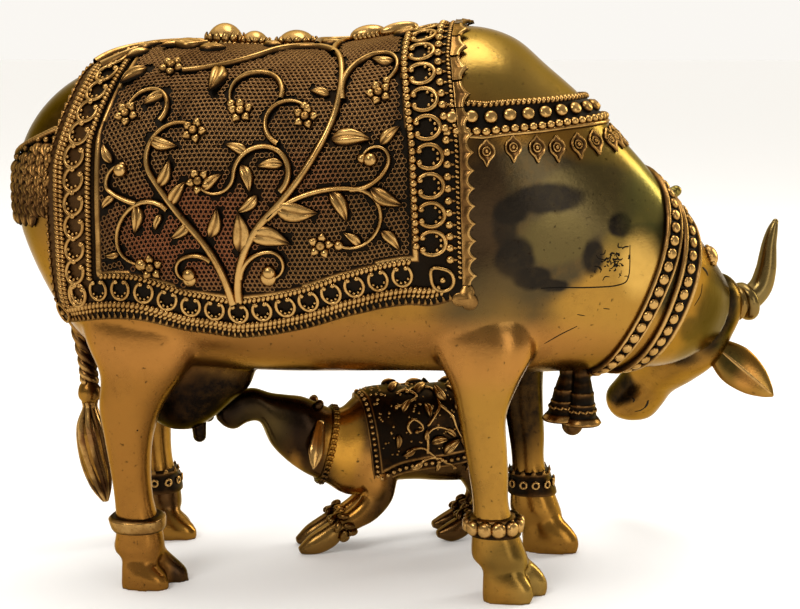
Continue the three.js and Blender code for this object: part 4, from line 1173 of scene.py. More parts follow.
def cloth_relief(u, v):
    """Lift over the skin and shine of the cloth's own sheet, without its ornaments."""
    rear, front, low = border_distances(u, v)
    nearest = np.minimum(np.minimum(rear, front - FRONT_INSET), low)
    lift = CLOTH_LIFT * smooth_step(nearest, -0.1, 0.5)
    edge = bump_line(nearest, 0.6, 0.45, 0.5)
    within = np.minimum(rear - REAR_LINES["frame"], front - FRONT_LINES["frame"])
    frame_line = bump_line(np.minimum(within, low - HEM_LINES["frame"]), 0, 0.7, 0.9)
    shine = 0.15 + 0.6 * (edge > 0.25) + 0.8 * (frame_line > 0.35)
    return lift + edge + frame_line, np.clip(shine, 0, 1)


def cloth_sheet(bm, columns=176, rows=250):
    def spread(s, q):
        v = (q * 2 - 1) * HEM_LOWEST
        for _ in range(3):
            u = rear_edge(v) + (front_edge(v) - FRONT_INSET - rear_edge(v)) * s
            v = (q * 2 - 1) * hem(u)
        return u, v

    def place(s, q):
        u, v = spread(s, q)
        lift, _ = cloth_relief(u, v)
        inside = np.minimum(np.minimum(s, 1 - s), np.minimum(q, 1 - q))
        return on_back(u, v, np.where(inside < ON_EDGE, -0.6, lift))[0]

    def shine(s, q):
        return cloth_relief(*spread(s, q))[1]

    mapped_grid(bm, columns, rows, place, shine)


def on_skin(t, angle, lift=0.0):
    """Places on the cow's trunk, by section and degrees from the ridge."""
    point, forward, around, out = skin_frames(TRUNK, t, np.radians(angle))
    return point + out * np.reshape(lift, (-1, 1)), forward, around, out


def one_place(surface, a, b, lift=0.0):
    """A single place on a surface, and the ways forward, round and out there."""
    return (Vector(np.ravel(part)) for part in surface([a], [b], lift))


def spaced(surface, a, b, pitch):
    """Places at even steps along a line on a surface, and the way the line runs there."""
    steps = np.linalg.norm(np.diff(surface(a, b)[0], axis=0), axis=1)
    reach = np.concatenate([[0], np.cumsum(steps)])
    count = max(int(round(reach[-1] / pitch)), 1)
    at = (np.arange(count) + 0.5) / count * reach[-1]
    ends = [
        surface(np.interp(at + by, reach, a), np.interp(at + by, reach, b))[0] for by in (0.2, -0.2)
    ]
    return np.interp(at, reach, a), np.interp(at, reach, b), ends[0] - ends[1]


def lay_line(bm, ornament, surface, a, b, pitch, lift, size, turn=0.0, side=1):
    """Lays an ornament at even steps along a line, turned from the line's own way."""
    a_at, b_at, ways = spaced(surface, a, np.asarray(b) * side, pitch)
    points, _, _, outs = surface(a_at, b_at, lift)
    for point, way, out in zip(points, ways, outs):
        way, out = Vector(way), Vector(out)
        way = Matrix.Rotation(math.radians(turn * side), 3, out) @ way
        ornament.lay(bm, point, way, out, size, side)


def rear_line(distance, top, bottom):
    v = np.linspace(top, bottom, 120)
    return rear_edge(v) + distance, v


def front_line(distance, top, bottom):
    v = np.linspace(top, bottom, 120)
    return front_edge(v) - distance, v


def hem_line(distance, start, end):
    u = np.linspace(start, end, 160)
    return u, hem(u) - distance


def cloth_borders(bm, kit, side):
    """Borders of one half of the cloth: ornament, line, pitch, lift, size and turn."""
    rear, front, low = REAR_LINES, FRONT_LINES, HEM_LINES

    def put(name, line, pitch, lift, size, turn=0.0):
        lay_line(bm, kit[name], on_back, *line, pitch, CLOTH_LIFT + lift, size, turn, side)

    # Rear border: points at the rim, rope, open rings, rope
    put("tooth", rear_line(rear["teeth"] - 0.3, 1, 90), 2.7, 0.1, 1.15, -90)
    put("tooth", rear_line(rear["teeth"] + 3.1, 3, 90), 2.7, 0.1, 1.0, 90)
    put("seed", rear_line(rear["rope"] - 0.3, 1, 90), 1.45, 0.3, 1.3)
    put("seed", rear_line(rear["rope"] + 1.3, 1, 90), 1.45, 0.3, 1.1)
    put("ring", rear_line(rear["rings"], 3, 92), 7.4, 0.2, 1.08, 62)
    put("seed", rear_line(rear["rope_in"] - 0.4, 1, 86), 1.4, 0.3, 1.15)
    # Front border: a scalloped plate at the rim, single beads, open rings, beads
    put("scallop", front_line(front["strip"], 2, 44), 7.9, 0.3, (8.1, 3.3, 1.1))
    put("scallop", front_line(front["strip"], 44, 96), 5.2, 0.3, (5.4, 3.0, 1.1))
    put("seed", front_line(front["strip"] + 2.4, 2, 95), 1.5, 0.2, 0.8)
    put("bead", front_line(front["beads"], 2, 91), 3.5, 0.3, 1.4)
    put("tooth", front_line(front["beads"] - 1.0, 2, 91), 3.5, 0.2, 0.8)
    put("ring", front_line(front["rings"], 2, 88), 8.9, 0.2, 1.16, 180)
    put("bead", front_line(front["beads_in"], 1, 85), 2.3, 0.5, 1.3)
    # Hem: points over the rim, rope, open rings, rope
    put("tooth", hem_line(low["teeth"] - 0.4, -104, 21), 2.0, 0.1, 1.0)
    put("seed", hem_line(low["rope"] - 1.6, -103, 18), 1.45, 0.2, 0.95)
    put("seed", hem_line(low["rope"], -102, 17), 1.45, 0.35, 1.3)
    put("ring", hem_line(low["rings"], -100, 9), 7.4, 0.2, 0.92)
    put("seed", hem_line(low["rope_in"], -89, 8), 1.45, 0.5, 1.1)


# Eyelets in the lower corners: u, v, size and heading
CORNER_EYELETS = [(17.6, 95.2, 3.5, 40), (-104.6, 89.5, 3.4, -60)]
CORNER_LEAF = (24.3, 100)


def cloth_corners(bm, kit, side):
    for u, v, size, heading in CORNER_EYELETS:
        point, forward, _, out = one_place(on_back, u, v * side, CLOTH_LIFT + 0.6)
        way = Matrix.Rotation(math.radians(heading * side), 3, out) @ forward
        kit["eyelet"].lay(bm, point, way, out, size, side)
    u, v = CORNER_LEAF
    point, forward, around, out = one_place(on_back, u, v * side, 0.9)
    kit["trefoil"].lay(bm, point, forward * 0.7 + around * side * 0.7, out, (4.6, 4.6, 5), side)


# Pitch of the net on the near and the far side, in millimetres, and of cells by their width
NET_PITCH, CELL_WIDTH = {1: 1.5, -1: 1.9}, 1.04
# Distances where the net begins: from the rear edge, front edge, hem, and from the vines
NET_FROM = {"rear": 20.8, "front": 19.4, "hem": 16.6, "vine": 1.9}


def vine_places():
    """Points along the stems and leaves, which the net keeps clear of."""
    stems = [stem_line(*walk, count=8) for walk in STEMS]
    share = np.linspace(0, 1, 6)[:, None]
    leaves = [
        np.array(row[:2]) + (np.array(row[2:]) - np.array(row[:2])) * share for row in LEAVES
    ]
    return np.concatenate(stems + leaves + [np.array(FLOWERS, float)])


def net(bm, kit, side):
    """Rows of six-sided wire cells over the field inside the borders."""
    taken = vine_places()
    pitch = NET_PITCH[side]
    row_step = pitch * math.sqrt(3) / 2
    size = pitch / CELL_WIDTH
    for row in range(int(104 / row_step)):
        v = 1 + row * row_step
        u = np.arange(-90 + (row % 2) * pitch / 2, 12, pitch)
        rear, front, low = border_distances(u, np.full(len(u), v))
        away = np.hypot(u[:, None] - taken[:, 0], v - taken[:, 1]).min(axis=1)
        u = u[
            (rear > NET_FROM["rear"]) & (front > NET_FROM["front"])
            & (low > NET_FROM["hem"]) & (away > NET_FROM["vine"])
        ]
        if not len(u):
            continue
        # Rows waver a little, as soldered by hand
        drift = np.array([noise.noise(Vector((a * 0.11, v * 0.11, side))) for a in u]) * 0.35
        points, forwards, _, outs = on_back(u + drift, (v + drift) * side, CLOTH_LIFT + 0.55)
        for point, forward, out in zip(points, forwards, outs):
            kit["cell"].lay(bm, point, forward, out, size, side)


# Vine stems: start, heading in degrees, length, and the turns over equal parts of the length
STEMS = [
    ((-45, 98), -93, 143, (49, -19, -43, -118, 44)), ((-47, 99), -99, 71, (-33, 10, 140)),
    ((-66, 70), -132, 36, (-215,)), ((-76, 67), -157, 21, (22, 153)), ((-53, 86), -143, 19, (-63, -162)),
    ((-31, 65), -42, 48, (-121, -104, 154)), ((-32, 51), -156, 24, (197,)), ((-32, 37), -76, 31, (-219,)),
    ((-69, 43), -45, 23, (-207,)), ((-35, 73), -44, 59, (56, 196)), ((-10, 65), 10, 27, (-75, -189)),
    ((-13, 38), -106, 38, (80, 175)), ((-44, 91), -82, 27, (81, 192)), ((-18, 18), -97, 18, (42,)),
]
# The first two stems are the thickest, and these are stout
THICK_STEMS, STOUT_STEMS = (0, 1), (5, 9, 11)
# Stems that end in a round bud, and its radius
CURLED = {2: 2.0, 3: 1.3, 4: 2.4, 5: 1.2, 6: 1.4, 7: 1.4, 8: 1.3, 9: 1.6, 10: 1.5, 11: 1.3, 12: 2.7}
# Leaves from foot to tip; middles of flowers and of loose buds
LEAVES = [
    (-16, 50, -5, 50), (-17, 36, -22, 34), (-38, 66, -43, 71), (-53, 79, -50, 71), (-59, 74, -64, 79),
    (-69, 63, -65, 56), (-65, 69, -61, 62), (-72, 48, -64, 51), (-76, 67, -76, 75), (-68, 71, -70, 75),
    (-82, 81, -86, 82), (-83, 63, -87, 66), (-84, 53, -87, 48), (-41, 54, -47, 51), (-43, 57, -40, 64),
    (-30, 57, -37, 57), (-41, 78, -29, 79), (-33, 69, -21, 72), (-16, 65, -11, 73), (-7, 82, -11, 78),
    (-1, 78, 4, 83), (-4, 65, 4, 71), (-1, 53, 4, 48), (-44, 83, -43, 72), (2, 26, -4, 24),
    (-68, 34, -74, 37), (-53, 24, -53, 35), (-76, 23, -83, 28), (-55, 65, -50, 60),
]
FLOWERS = [
    (-58, 47), (-72, 87), (-56, 62), (-24, 43), (-44, 41), (-80, 39), (-19, 81), (-2, 37), (-68, 24),
]
BUDS = [(-81, 56), (-60, 90), (-4, 57), (-35, 89)]


def stem_line(start, heading, reach, turns, count=16):
    """Walks a stem on the cloth in short strides, turning as it goes."""
    total = count * len(turns)
    stride = reach / total
    u, v = start
    way = heading
    places = [(u, v)]
    for turn in turns:
        for _ in range(count):
            way += turn / count / 2
            u += stride * math.cos(math.radians(way))
            v += stride * math.sin(math.radians(way))
            way += turn / count / 2
            places.append((u, v))
    return np.array(places)


def stem(bm, line, half, height, side, end=None):
    """A rounded rib along a line on the cloth, thinner towards its end, and a bud there."""
    count = len(line)
    thin = np.interp(np.linspace(0, 1, count), [0, 0.5, 1], [1.25, 0.95, 0.62])
    points, _, _, outs = on_back(line[:, 0], line[:, 1] * side, CLOTH_LIFT)
    ways = np.gradient(points, axis=0)
    ways /= np.linalg.norm(ways, axis=1, keepdims=True)
    across = np.cross(outs, ways) * side

    def place(s, a):
        ring = np.rint(s * (count - 1)).astype(int)
        angle = math.pi * a
        wide = np.cos(angle) * half * thin[ring]
        high = np.sin(angle) * height * (0.55 + 0.45 * thin[ring]) + 0.25
        return points[ring] + across[ring] * wide[:, None] + outs[ring] * high[:, None]

    # Rubbed bright along the top, with painted shade down the sides to the cloth
    def shine(s, a):
        return np.sin(math.pi * a) ** 0.8

    made = mapped_grid(bm, count - 1, 9, place, shine)
    faces = {face for vert in made for face in vert.link_faces}
    if side > 0:
        bmesh.ops.reverse_faces(bm, faces=list(faces))
    if end:
        axes = (ways[-1], across[-1], outs[-1])
        ball(bm, points[-1] + outs[-1] * 0.6, (end, end, min(end, 1.8)), axes)


def leaf_place(leaf_line, side, lift):
    """Foot of a leaf on the cloth, its way, the way out there, and its length."""
    u, v, tip_u, tip_v = leaf_line
    point, forward, around, out = one_place(on_back, u, v * side, CLOTH_LIFT + lift)
    way = forward * (tip_u - u) + around * (tip_v - v) * side
    return point, way, out, math.hypot(tip_u - u, tip_v - v)


def vines(bm, kit, side):
    for k, walk in enumerate(STEMS):
        half = 1.25 if k in THICK_STEMS else (1.0 if k in STOUT_STEMS else 0.9)
        height = 2.0 if k in THICK_STEMS else 1.75
        stem(bm, stem_line(*walk), half, height, side, CURLED.get(k))
    for k, leaf_line in enumerate(LEAVES):
        point, way, out, reach = leaf_place(leaf_line, side, 0.75)
        reach += 0.8
        size = (reach * 1.05, reach * 1.15, max(reach, 7))
        kit["leaf"].lay(bm, point, way, out, size, side if k % 2 else -side)
    for k, (u, v) in enumerate(FLOWERS):
        point, forward, _, out = one_place(on_back, u, v * side, CLOTH_LIFT + 0.9)
        for petal_index in range(5):
            turn = math.radians(petal_index * 72 + k * 25)
            way = Matrix.Rotation(turn, 3, out) @ forward
            kit["petal"].lay(bm, point + way * 0.8, way, out, (3.3, 3.6, 3.4), side)
        kit["button"].lay(bm, point + out * 0.8, forward, out, 1.45, side)
    for u, v in BUDS:
        point, forward, _, out = one_place(on_back, u, v * side, CLOTH_LIFT + 0.9)
        kit["bead"].lay(bm, point, forward, out, 2.3, side)


# Relief along the ridge: domes ringed with petals, buds and a scroll

# Domes: u, radius, height. Buds: u, v, length, half width, heading, height
RIDGE_DOMES, DOME_PETALS = [(-56.5, 6.3, 7.4), (-46.8, 4.8, 5.2), (-33, 6.6, 5.6)], 14
RIDGE_BUDS = [(-9, 1, 12, 3.2, 8, 3.1), (1, 3, 12, 1.7, 14, 2.2), (1.5, -2.5, 11, 1.7, -6, 2.2)]
RIDGE_STEMS = [
    [(-95, 12), (-90, 5), (-84, 1), (-76, -2), (-66, 0)], [(-92, 16), (-88, 14), (-82, 10)],
    [(-24, 12), (-24, 5), (-21, 1), (-15, 0)], [(-72, 8), (-66, 12), (-60, 9)],
]
RIDGE_LEAVES = [
    (-66, 6, -74, 12), (-62, 9, -72, 5), (-42, 6, -37, 10), (-62, 12, -54, 14),
    (-24, 6, -17, 9), (-84, 6, -76, 7), (-78, 12, -84, 16), (0, 7, 6, 11),
]


def ridge_relief(bm, kit):
    for u, radius, height in RIDGE_DOMES:
        point, forward, around, out = one_place(on_back, u, 0, CLOTH_LIFT - 0.6)
        ball(bm, point, (radius, radius, height), (forward, around, out), 32, 20)
        size = (height * 0.52, radius * 0.5, 2.2)
        for k in range(DOME_PETALS):
            spoke = Matrix.Rotation(math.radians(k * 360 / DOME_PETALS), 3, out) @ forward
            place = point + spoke * radius * 0.98 + out * 0.6
            kit["petal"].lay(bm, place, out - spoke * 0.12, spoke + out * 0.12, size)
            kit["bead"].lay(bm, point + spoke * radius * 1.06 + out * 0.5, forward, out, 0.9)
    for u, v, length, half, heading, high in RIDGE_BUDS:
        point, forward, _, out = one_place(on_back, u, v, CLOTH_LIFT + 1.2)
        way = Matrix.Rotation(math.radians(heading), 3, out) @ forward
        side = out.cross(way)
        ball(bm, point + out * 0.6, (length / 2, half, high), (way, side, out), 24, 14)
        # The widest bud has a row of grains down each side
        for k in range(7 if half > 2 else 0):
            for turn in (-1, 1):
                place = point + way * (k - 3) * length / 8.4 + side * turn * half * 0.86
                kit["seed"].lay(bm, place, out, side * turn, (1.9, 0.9, 0.9))
    for side in (1, -1):
        for line in RIDGE_STEMS:
            stem(bm, curve_through(line, 26), 1.15, 2.3, side)
        for leaf_line in RIDGE_LEAVES:
            point, way, out, reach = leaf_place(leaf_line, side, 0.8)
            reach += 1
            kit["leaf"].lay(bm, point, way, out, (reach, reach * 1.2, 8), side)


# Bands on the skin: a channel with raised rims, closed down to the skin at its sides

def band_profile(s, lift, channel, rim):
    """Lift and shine across a band: rims at both sides of a sunk channel."""
    inside = np.minimum(s, 1 - s)
    lift = np.where(inside < ON_EDGE, -0.5, np.where(inside < rim, lift, channel))
    return lift, np.where((inside >= ON_EDGE) & (inside < rim), 0.95, 0.08)


def skin_band(bm, surface, lines, columns, lift, channel, rim=0.13):
    """A band between two lines on a surface, each a function of a share along it."""
    stops = np.array([0, 0.02, rim * 0.5, rim * 0.98, rim * 1.15, 0.5])
    stops = np.concatenate([stops, 1 - stops[-2::-1]])

    def across(a):
        return np.interp(a, np.linspace(0, 1, len(stops)), stops)

    def place(s, a):
        q = across(a)
        (t_low, angle_low), (t_high, angle_high) = lines[0](s), lines[1](s)
        t, angle = t_low + (t_high - t_low) * q, angle_low + (angle_high - angle_low) * q
        return surface(t, angle, band_profile(q, lift, channel, rim)[0])[0]

    def shine(s, a):
        return band_profile(across(a), lift, channel, rim)[1]

    mapped_grid(bm, columns, len(stops) - 1, place, shine)


# Shoulder band's lower and upper line: height behind, rise ahead, and degrees down each side
SHOULDER, BAND_START = {"low": (147, 0.1, 66), "high": (156, 0.0625, 56)}, 27
# Pendants under the band: section of the trunk and degrees from the ridge
PENDANTS = [
    (10.62, 70), (11.22, 66), (11.75, 62), (12.2, 58), (12.7, 52), (13.12, 45), (13.55, 36),
    (13.75, 29), (13.92, 21.5), (14.02, 13.5), (14.06, 4.8),
]


def shoulder_line(name):
    """The line at a slowly rising height round the front of the shoulders, from side to side."""
    base, slope, reach = SHOULDER[name]
    t = np.linspace(9.2, 15.5, 500)
    angles = np.linspace(-reach, reach, 81)
    found = []
    for angle in angles:
        x, _, z = skin_points(TRUNK, t, math.radians(angle)).T
        above = np.nonzero(z > base + slope * (x - BAND_START))[0]
        found.append(t[above[-1]] if len(above) else 9.5)
    found = np.array(found)
    for _ in range(3):
        found[1:-1] = (found[:-2] + 2 * found[1:-1] + found[2:]) / 4
    # Beyond the last crossing the line runs on level under the cloth's edge
    angles = np.concatenate([[-reach - 1], angles, [reach + 1]])
    found = np.concatenate([[found[0] - 0.9], found, [found[-1] - 0.9]])
    share = np.concatenate([[0], np.linspace(0.04, 0.96, 81), [1]])
    return lambda s: (np.interp(s, share, found), np.interp(s, share, angles))


def between(one, other, share):
    """A line that runs between two others, at a share of the way across."""
    def line(s):
        (a, b), (c, d) = one(s), other(s)
        return a + (c - a) * share, b + (d - b) * share
    return line


def shoulder_band(bm, kit):
    low, high = shoulder_line("low"), shoulder_line("high")
    skin_band(bm, on_skin, (between(low, high, -0.12), between(low, high, 1.12)), 160, 1.1, 0.7, 0.1)
    s = np.linspace(0, 1, 200)
    lay_line(bm, kit["seed"], on_skin, *between(low, high, 1.0)(s), 1.7, 1.0, 1.15)
    lay_line(bm, kit["bead"], on_skin, *between(low, high, 0.12)(s), 2.9, 1.0, (1.5, 1.3, 1.2))
    large = (2.3, 2.15, 1.9)
    lay_line(bm, kit["collar_bead"], on_skin, *between(low, high, 0.57)(s), 5.8, 0.7, large)
    down = Vector((0, 0, -1))
    for side in (1, -1):
        for t, angle in PENDANTS:
            point, _, _, out = one_place(on_skin, t, angle * side, 0.35)
            kit["pendant"].lay(bm, point + down * 0.6, down, out, (2.9, 2.7, 2.7), side)


def pendant():
    """A drop-shaped plate with a rim and a ball in it, its point along x."""
    bm = new_mesh()
    bmesh.ops.create_circle(bm, cap_ends=True, segments=32, radius=1)
    for vert in bm.verts:
        cos = math.cos(math.atan2(vert.co.y, vert.co.x))
        vert.co.x += 0.7 * max(cos, 0) ** 26 - 0.4 * max(-cos, 0) ** 36
    plate = raised_rim(bm, next(iter(bm.faces)), 0.03, 0.26)
    hollow = raised_rim(bm, plate, 0.13, 0.0)
    raised_rim(bm, hollow, 0.06, -0.16)
    ring = [(0.44 * math.cos(a), 0.44 * math.sin(a), 0.14, 0.1) for a in np.linspace(0, 2 * math.pi, 17)]
    tube(bm, ring, 6, across=(0, 0, 1))
    matrix = Matrix.Translation((0, 0, 0.14))
    bmesh.ops.create_uvsphere(bm, u_segments=8, v_segments=6, radius=0.24, matrix=matrix)
    return Ornament(bm, lambda co: 0.5 if co.z < 0.12 else 0.9)


def collar_bead():
    """A round bead rubbed flat on top."""
    bm = dome(14, 9)
    for vert in bm.verts:
        if vert.co.z > 0.75:
            vert.co.z = 0.75 + (vert.co.z - 0.75) * 0.35
    return Ornament(bm, brighter_up(0.1, 0, 1.8))


# Two collars of beads round the throat: section on top, section below, half width, lift
COLLARS = [(15.8, 15.8, 0.27, 1.7), (15.25, 14.5, 0.22, 1.4)]


def collar_line(top, below, bend):
    """A line round a neck, leaning back under the throat; a higher bend leans it later."""
    def line(s):
        angle = s * 360 - 180
        return top + (below - top) * ((1 - np.cos(np.radians(angle))) / 2) ** bend, angle
    return line


def shifted(line, by):
    """A line moved along the trunk by part of a section."""
    def moved(s):
        t, angle = line(s)
        return t + by, angle
    return moved


def collars(bm, kit):
    s = np.linspace(0, 1, 400)
    for top, below, wide, lift in COLLARS:
        line = collar_line(top, below, 2)
        skin_band(bm, on_skin, (shifted(line, -wide), shifted(line, wide)), 220, lift, 0.8)
        lay_line(bm, kit["collar_bead"], on_skin, *line(s), 4.1, 0.75, (1.9, 1.85, 1.5))


# Bells under the throat: middle of the mouth and lean. Rows of one bell: height by its whole
# height, radius, shine
BELLS = [((53.4, 3, 52.6), 2.6), ((59.6, 1.2, 51.8), 0.2)]
BELL = [
    (0.0, 4.4, 0.1), (0.0, 6.2, 0.5), (0.04, 6.7, 0.9), (0.12, 5.9, 0.9), (0.17, 5.1, 0.15),
    (0.22, 4.9, 0.4), (0.36, 4.6, 0.35), (0.4, 4.7, 0.85), (0.43, 4.3, 0.15), (0.58, 4.0, 0.5),
    (0.62, 4.1, 0.75), (0.66, 3.7, 0.2), (0.8, 3.2, 0.5), (0.9, 2.8, 0.3), (1.0, 3.0, 0.6),
    (1.1, 2.7, 0.4), (1.2, 2.6, 0.2), (1.3, 2.4, 0.1),
]
BELL_HEIGHT = 17
# A small ball hangs between the mouths
BELL_BALL = ((56.8, 1.4, 51.4), (3.5, 3.4, 3.5))


BELL_GRAINS = 26


def profile_at(rows, column, s):
    """One column of a profile at shares of the way along its rows."""
    stops = np.array(rows)
    return np.interp(s, np.linspace(0, 1, len(stops)), stops[:, column])


def bells(bm, kit):
    along = partial(profile_at, BELL)
    for mouth, lean in BELLS:
        axis = (Vector((lean, 0, BELL_HEIGHT * 1.35))).normalized()

        def place(s, a):
            rise, radius = along(0, s) * BELL_HEIGHT, along(1, s)
            turn = 2 * math.pi * a
            side = np.stack([np.cos(turn) * radius, np.sin(turn) * radius, 0 * radius], -1)
            return np.array(mouth) + side + np.outer(rise, axis)

        sealed(bm, mapped_grid(bm, (len(BELL) - 1) * 2, 32, place, lambda s, a: along(2, s)))
        for k in range(BELL_GRAINS):
            turn = k / BELL_GRAINS * 2 * math.pi
            out = Vector((math.cos(turn), math.sin(turn), 0))
            way = Vector((-out.y, out.x, 0)) + Vector((0, 0, 0.8 if k % 2 else -0.8))
            kit["seed"].lay(bm, Vector(mouth) + out * 4.75 + axis * 4.8, way, out, (1.15, 0.5, 0.6))
    paint_wear_and_shade(bm, ball(bm, *BELL_BALL), 0.62)


# Rings round the shanks, by profiles of height, growth over the leg and shine
PLAIN_CUFF = [
    (0, -0.4, 0.2), (0.2, 0.9, 0.6), (1.2, 1.5, 0.95), (3.4, 2.2, 1), (4.4, 2.4, 1), (5.2, 1.5, 0.5),
    (5.2, -0.5, 0),
]
DARK_CUFF = [
    (0, -0.4, 0.2), (0.3, 0.9, 0.5), (1.6, 1.1, 0.3), (4.2, 1.2, 0.22), (6.6, 1.0, 0.3),
    (7.4, 1.4, 0.6), (8, 1.0, 0.3), (8.4, -0.5, 0),
]
BOSS_CUFF = [
    (0, -0.4, 0.1), (0.5, 0.9, 0.4), (1.6, 1.0, 0.3), (4.2, 1.3, 0.6), (5.8, 1.3, 0.85),
    (6.6, -0.4, 0.4),
]
# Leg, height of the ring's foot, profile, and knobs by name, size, count and rise over the foot
CUFFS = [
    (0, 18.6, PLAIN_CUFF, None), (1, 16.8, DARK_CUFF, ("ringlet", 1.5, 11, 4.4)),
    (2, 21.0, BOSS_CUFF, ("collar_bead", 2.7, 12, 3.7)), (3, 20.2, DARK_CUFF, ("ringlet", 1.5, 12, 4.4)),
]
# Rise and growth of the small points on a dark ring's top edge
CUFF_TOP = (7.4, 0.9)


def ringlet():
    """A small upright ring with a dimple."""
    bm = new_mesh()
    ring = [(0.75 * math.cos(a), 0.75 * math.sin(a), 0.3, 0.3) for a in np.linspace(0, 2 * math.pi, 13)]
    tube(bm, ring, 6, across=(0, 0, 1))
    return Ornament(bm, lambda co: 0.3 + 1.4 * max(co.z, 0))


def round_leg(leg, height, turn, grow):
    """Points round a leg, that far outside its skin."""
    ring = leg_ring_at(leg, height)
    cos, sin = np.cos(turn), np.sin(turn)
    size = oval_reach(cos, sin, LEG_OVAL)
    x = ring[..., 0] + cos * size * (ring[..., 3] + grow)
    y = ring[..., 1] + sin * size * (ring[..., 7] + grow)
    return np.stack([x, y, ring[..., 2]], -1)


def cuffs(bm, kit):
    for leg_index, foot, profile, knobs in CUFFS:
        leg = LEGS[leg_index]
        along = partial(profile_at, profile)

        def place(s, a):
            return round_leg(leg, foot + along(0, s), 2 * math.pi * a, along(1, s))

        sealed(bm, mapped_grid(bm, (len(profile) - 1) * 3, 48, place, lambda s, a: along(2, s)))
        if not knobs:
            continue
        name, size, count, rise = knobs
        for k in range(count):
            turn = (k + 0.5) / count * 2 * math.pi
            turns = np.array([turn, turn + 0.05])
            point, near = round_leg(leg, np.array([foot + rise] * 2), turns, 1.0)
            way = Vector(near - point).normalized()
            out = way.cross(Vector((0, 0, 1)))
            kit[name].lay(bm, point, way, out, size)
            if name == "ringlet":
                top = round_leg(leg, np.array([foot + CUFF_TOP[0]] * 2), turns, CUFF_TOP[1])[0]
                kit["tooth"].lay(bm, top, way, out, (1.7, 0.9, 0.9))


# Tail: a twisted switch, a knot and a pointed tuft, with a scaled cover at its root

# Shares of the tail's length: where the switch runs, and where the tuft starts
SWITCH, TUFT_START = (0.18, 0.44), 0.62
STRANDS, STRAND_RADIUS, STRAND_TURNS, LOCKS = 3, 1.65, 5.5 * math.pi, 7
# Scales from the top row down, and how far apart they stand in degrees
SCALE_ROWS, SCALE_STEP, SCALE_REACH = np.arange(147, 119.5, -3.1), 7.5, 58
TAIL_PENDANT = (-120.5, 9.5, 118)


def rump_tree():
    """The rump's skin, for finding places on it."""
    bm = new_mesh()
    trunk_shell(bm, TRUNK, columns=120, rows=72)
    ball(bm, *TAIL_ROOT, segments=32, rings=24)
    tree = BVHTree.FromBMesh(bm)
    bm.free()
    return tree


def strand(bm, path, turn, wind, radii, sides):
    """A strand wound round part of the tail."""
    rows = path.copy()
    rows[:, 0] += np.cos(turn) * wind
    rows[:, 1] += np.sin(turn) * wind
    rows[:, 3] = radii
    tube(bm, rows, sides)


def tail_relief(bm, kit):
    path = tail_path(140)
    upper = path[int(len(path) * SWITCH[0]):int(len(path) * SWITCH[1])]
    for k in range(STRANDS):
        turn = np.linspace(0, STRAND_TURNS, len(upper)) + k * 2 * math.pi / STRANDS
        strand(bm, upper, turn, 1.7, STRAND_RADIUS, 8)
    lower = path[int(len(path) * TUFT_START):]
    part = np.linspace(0, 1, len(lower))
    radii = 1.7 * np.sin(math.pi * np.clip(part * 0.93 + 0.05, 0, 1)) ** 0.5 + 0.15
    for k in range(LOCKS):
        turn = k / LOCKS * 2 * math.pi + 1.4 * part
        strand(bm, lower, turn, lower[:, 3] * 0.7, radii, 7)

    # Leaf scales over the root of the tail, highest beside the cloth
    rump = rump_tree()

    def on_rump(turn, z):
        way = Vector((-math.cos(turn), math.sin(turn), 0))
        return rump.ray_cast(Vector((-92, 0, z)) + way * 80, -way)[:2]

    down = Vector((0, 0, -1))
    for row, z in enumerate(SCALE_ROWS):
        turns = np.arange(-SCALE_REACH, SCALE_REACH + 0.1, SCALE_STEP) + (row % 2) * SCALE_STEP / 2
        for turn in np.radians(turns):
            if not 120.5 + 2 * abs(turn) < z < 135 + 11 * abs(turn):
                continue
            place, out = on_rump(turn, z)
            place += out * 0.5
            way = Vector((0.1, 0.35 * math.sin(turn), -1))
            kit["leaf"].lay(bm, place, way, out, (5.4, 9.5, 8), 1 if row % 2 else -1)
            kit["bead"].lay(bm, place - down * 0.8, down, out, 1.1)
    for turn in np.radians(np.arange(-60, 60, 2.4)):
        place, out = on_rump(turn, 136.5 + 11 * abs(turn))
        way = Vector((0, math.cos(turn), 0.3 + 0.2 * math.sin(turn)))
        kit["seed"].lay(bm, place + out * 0.5, way, out, 1.5)
    x, y, z = TAIL_PENDANT
    for side in (-1, 1):
        out = Vector((-0.55, 0.8 * side, 0.1)).normalized()
        kit["pendant"].lay(bm, (x, y * side, z), Vector((0.2, 0, -1)), out, 2.6)


def darken_tail(bm, body):
    """Darkens the tail between its own strands, and where it hangs beside the body: painted shade."""
    for tree, reach in ((BVHTree.FromBMesh(bm), 6), (body, 12)):
        darken_hollows(bm, tree, reach, count=14)


# Head: eyes between their lids, a rib in each ear, and the frontlet with its row of beads

FRONTLET_PETALS = 9


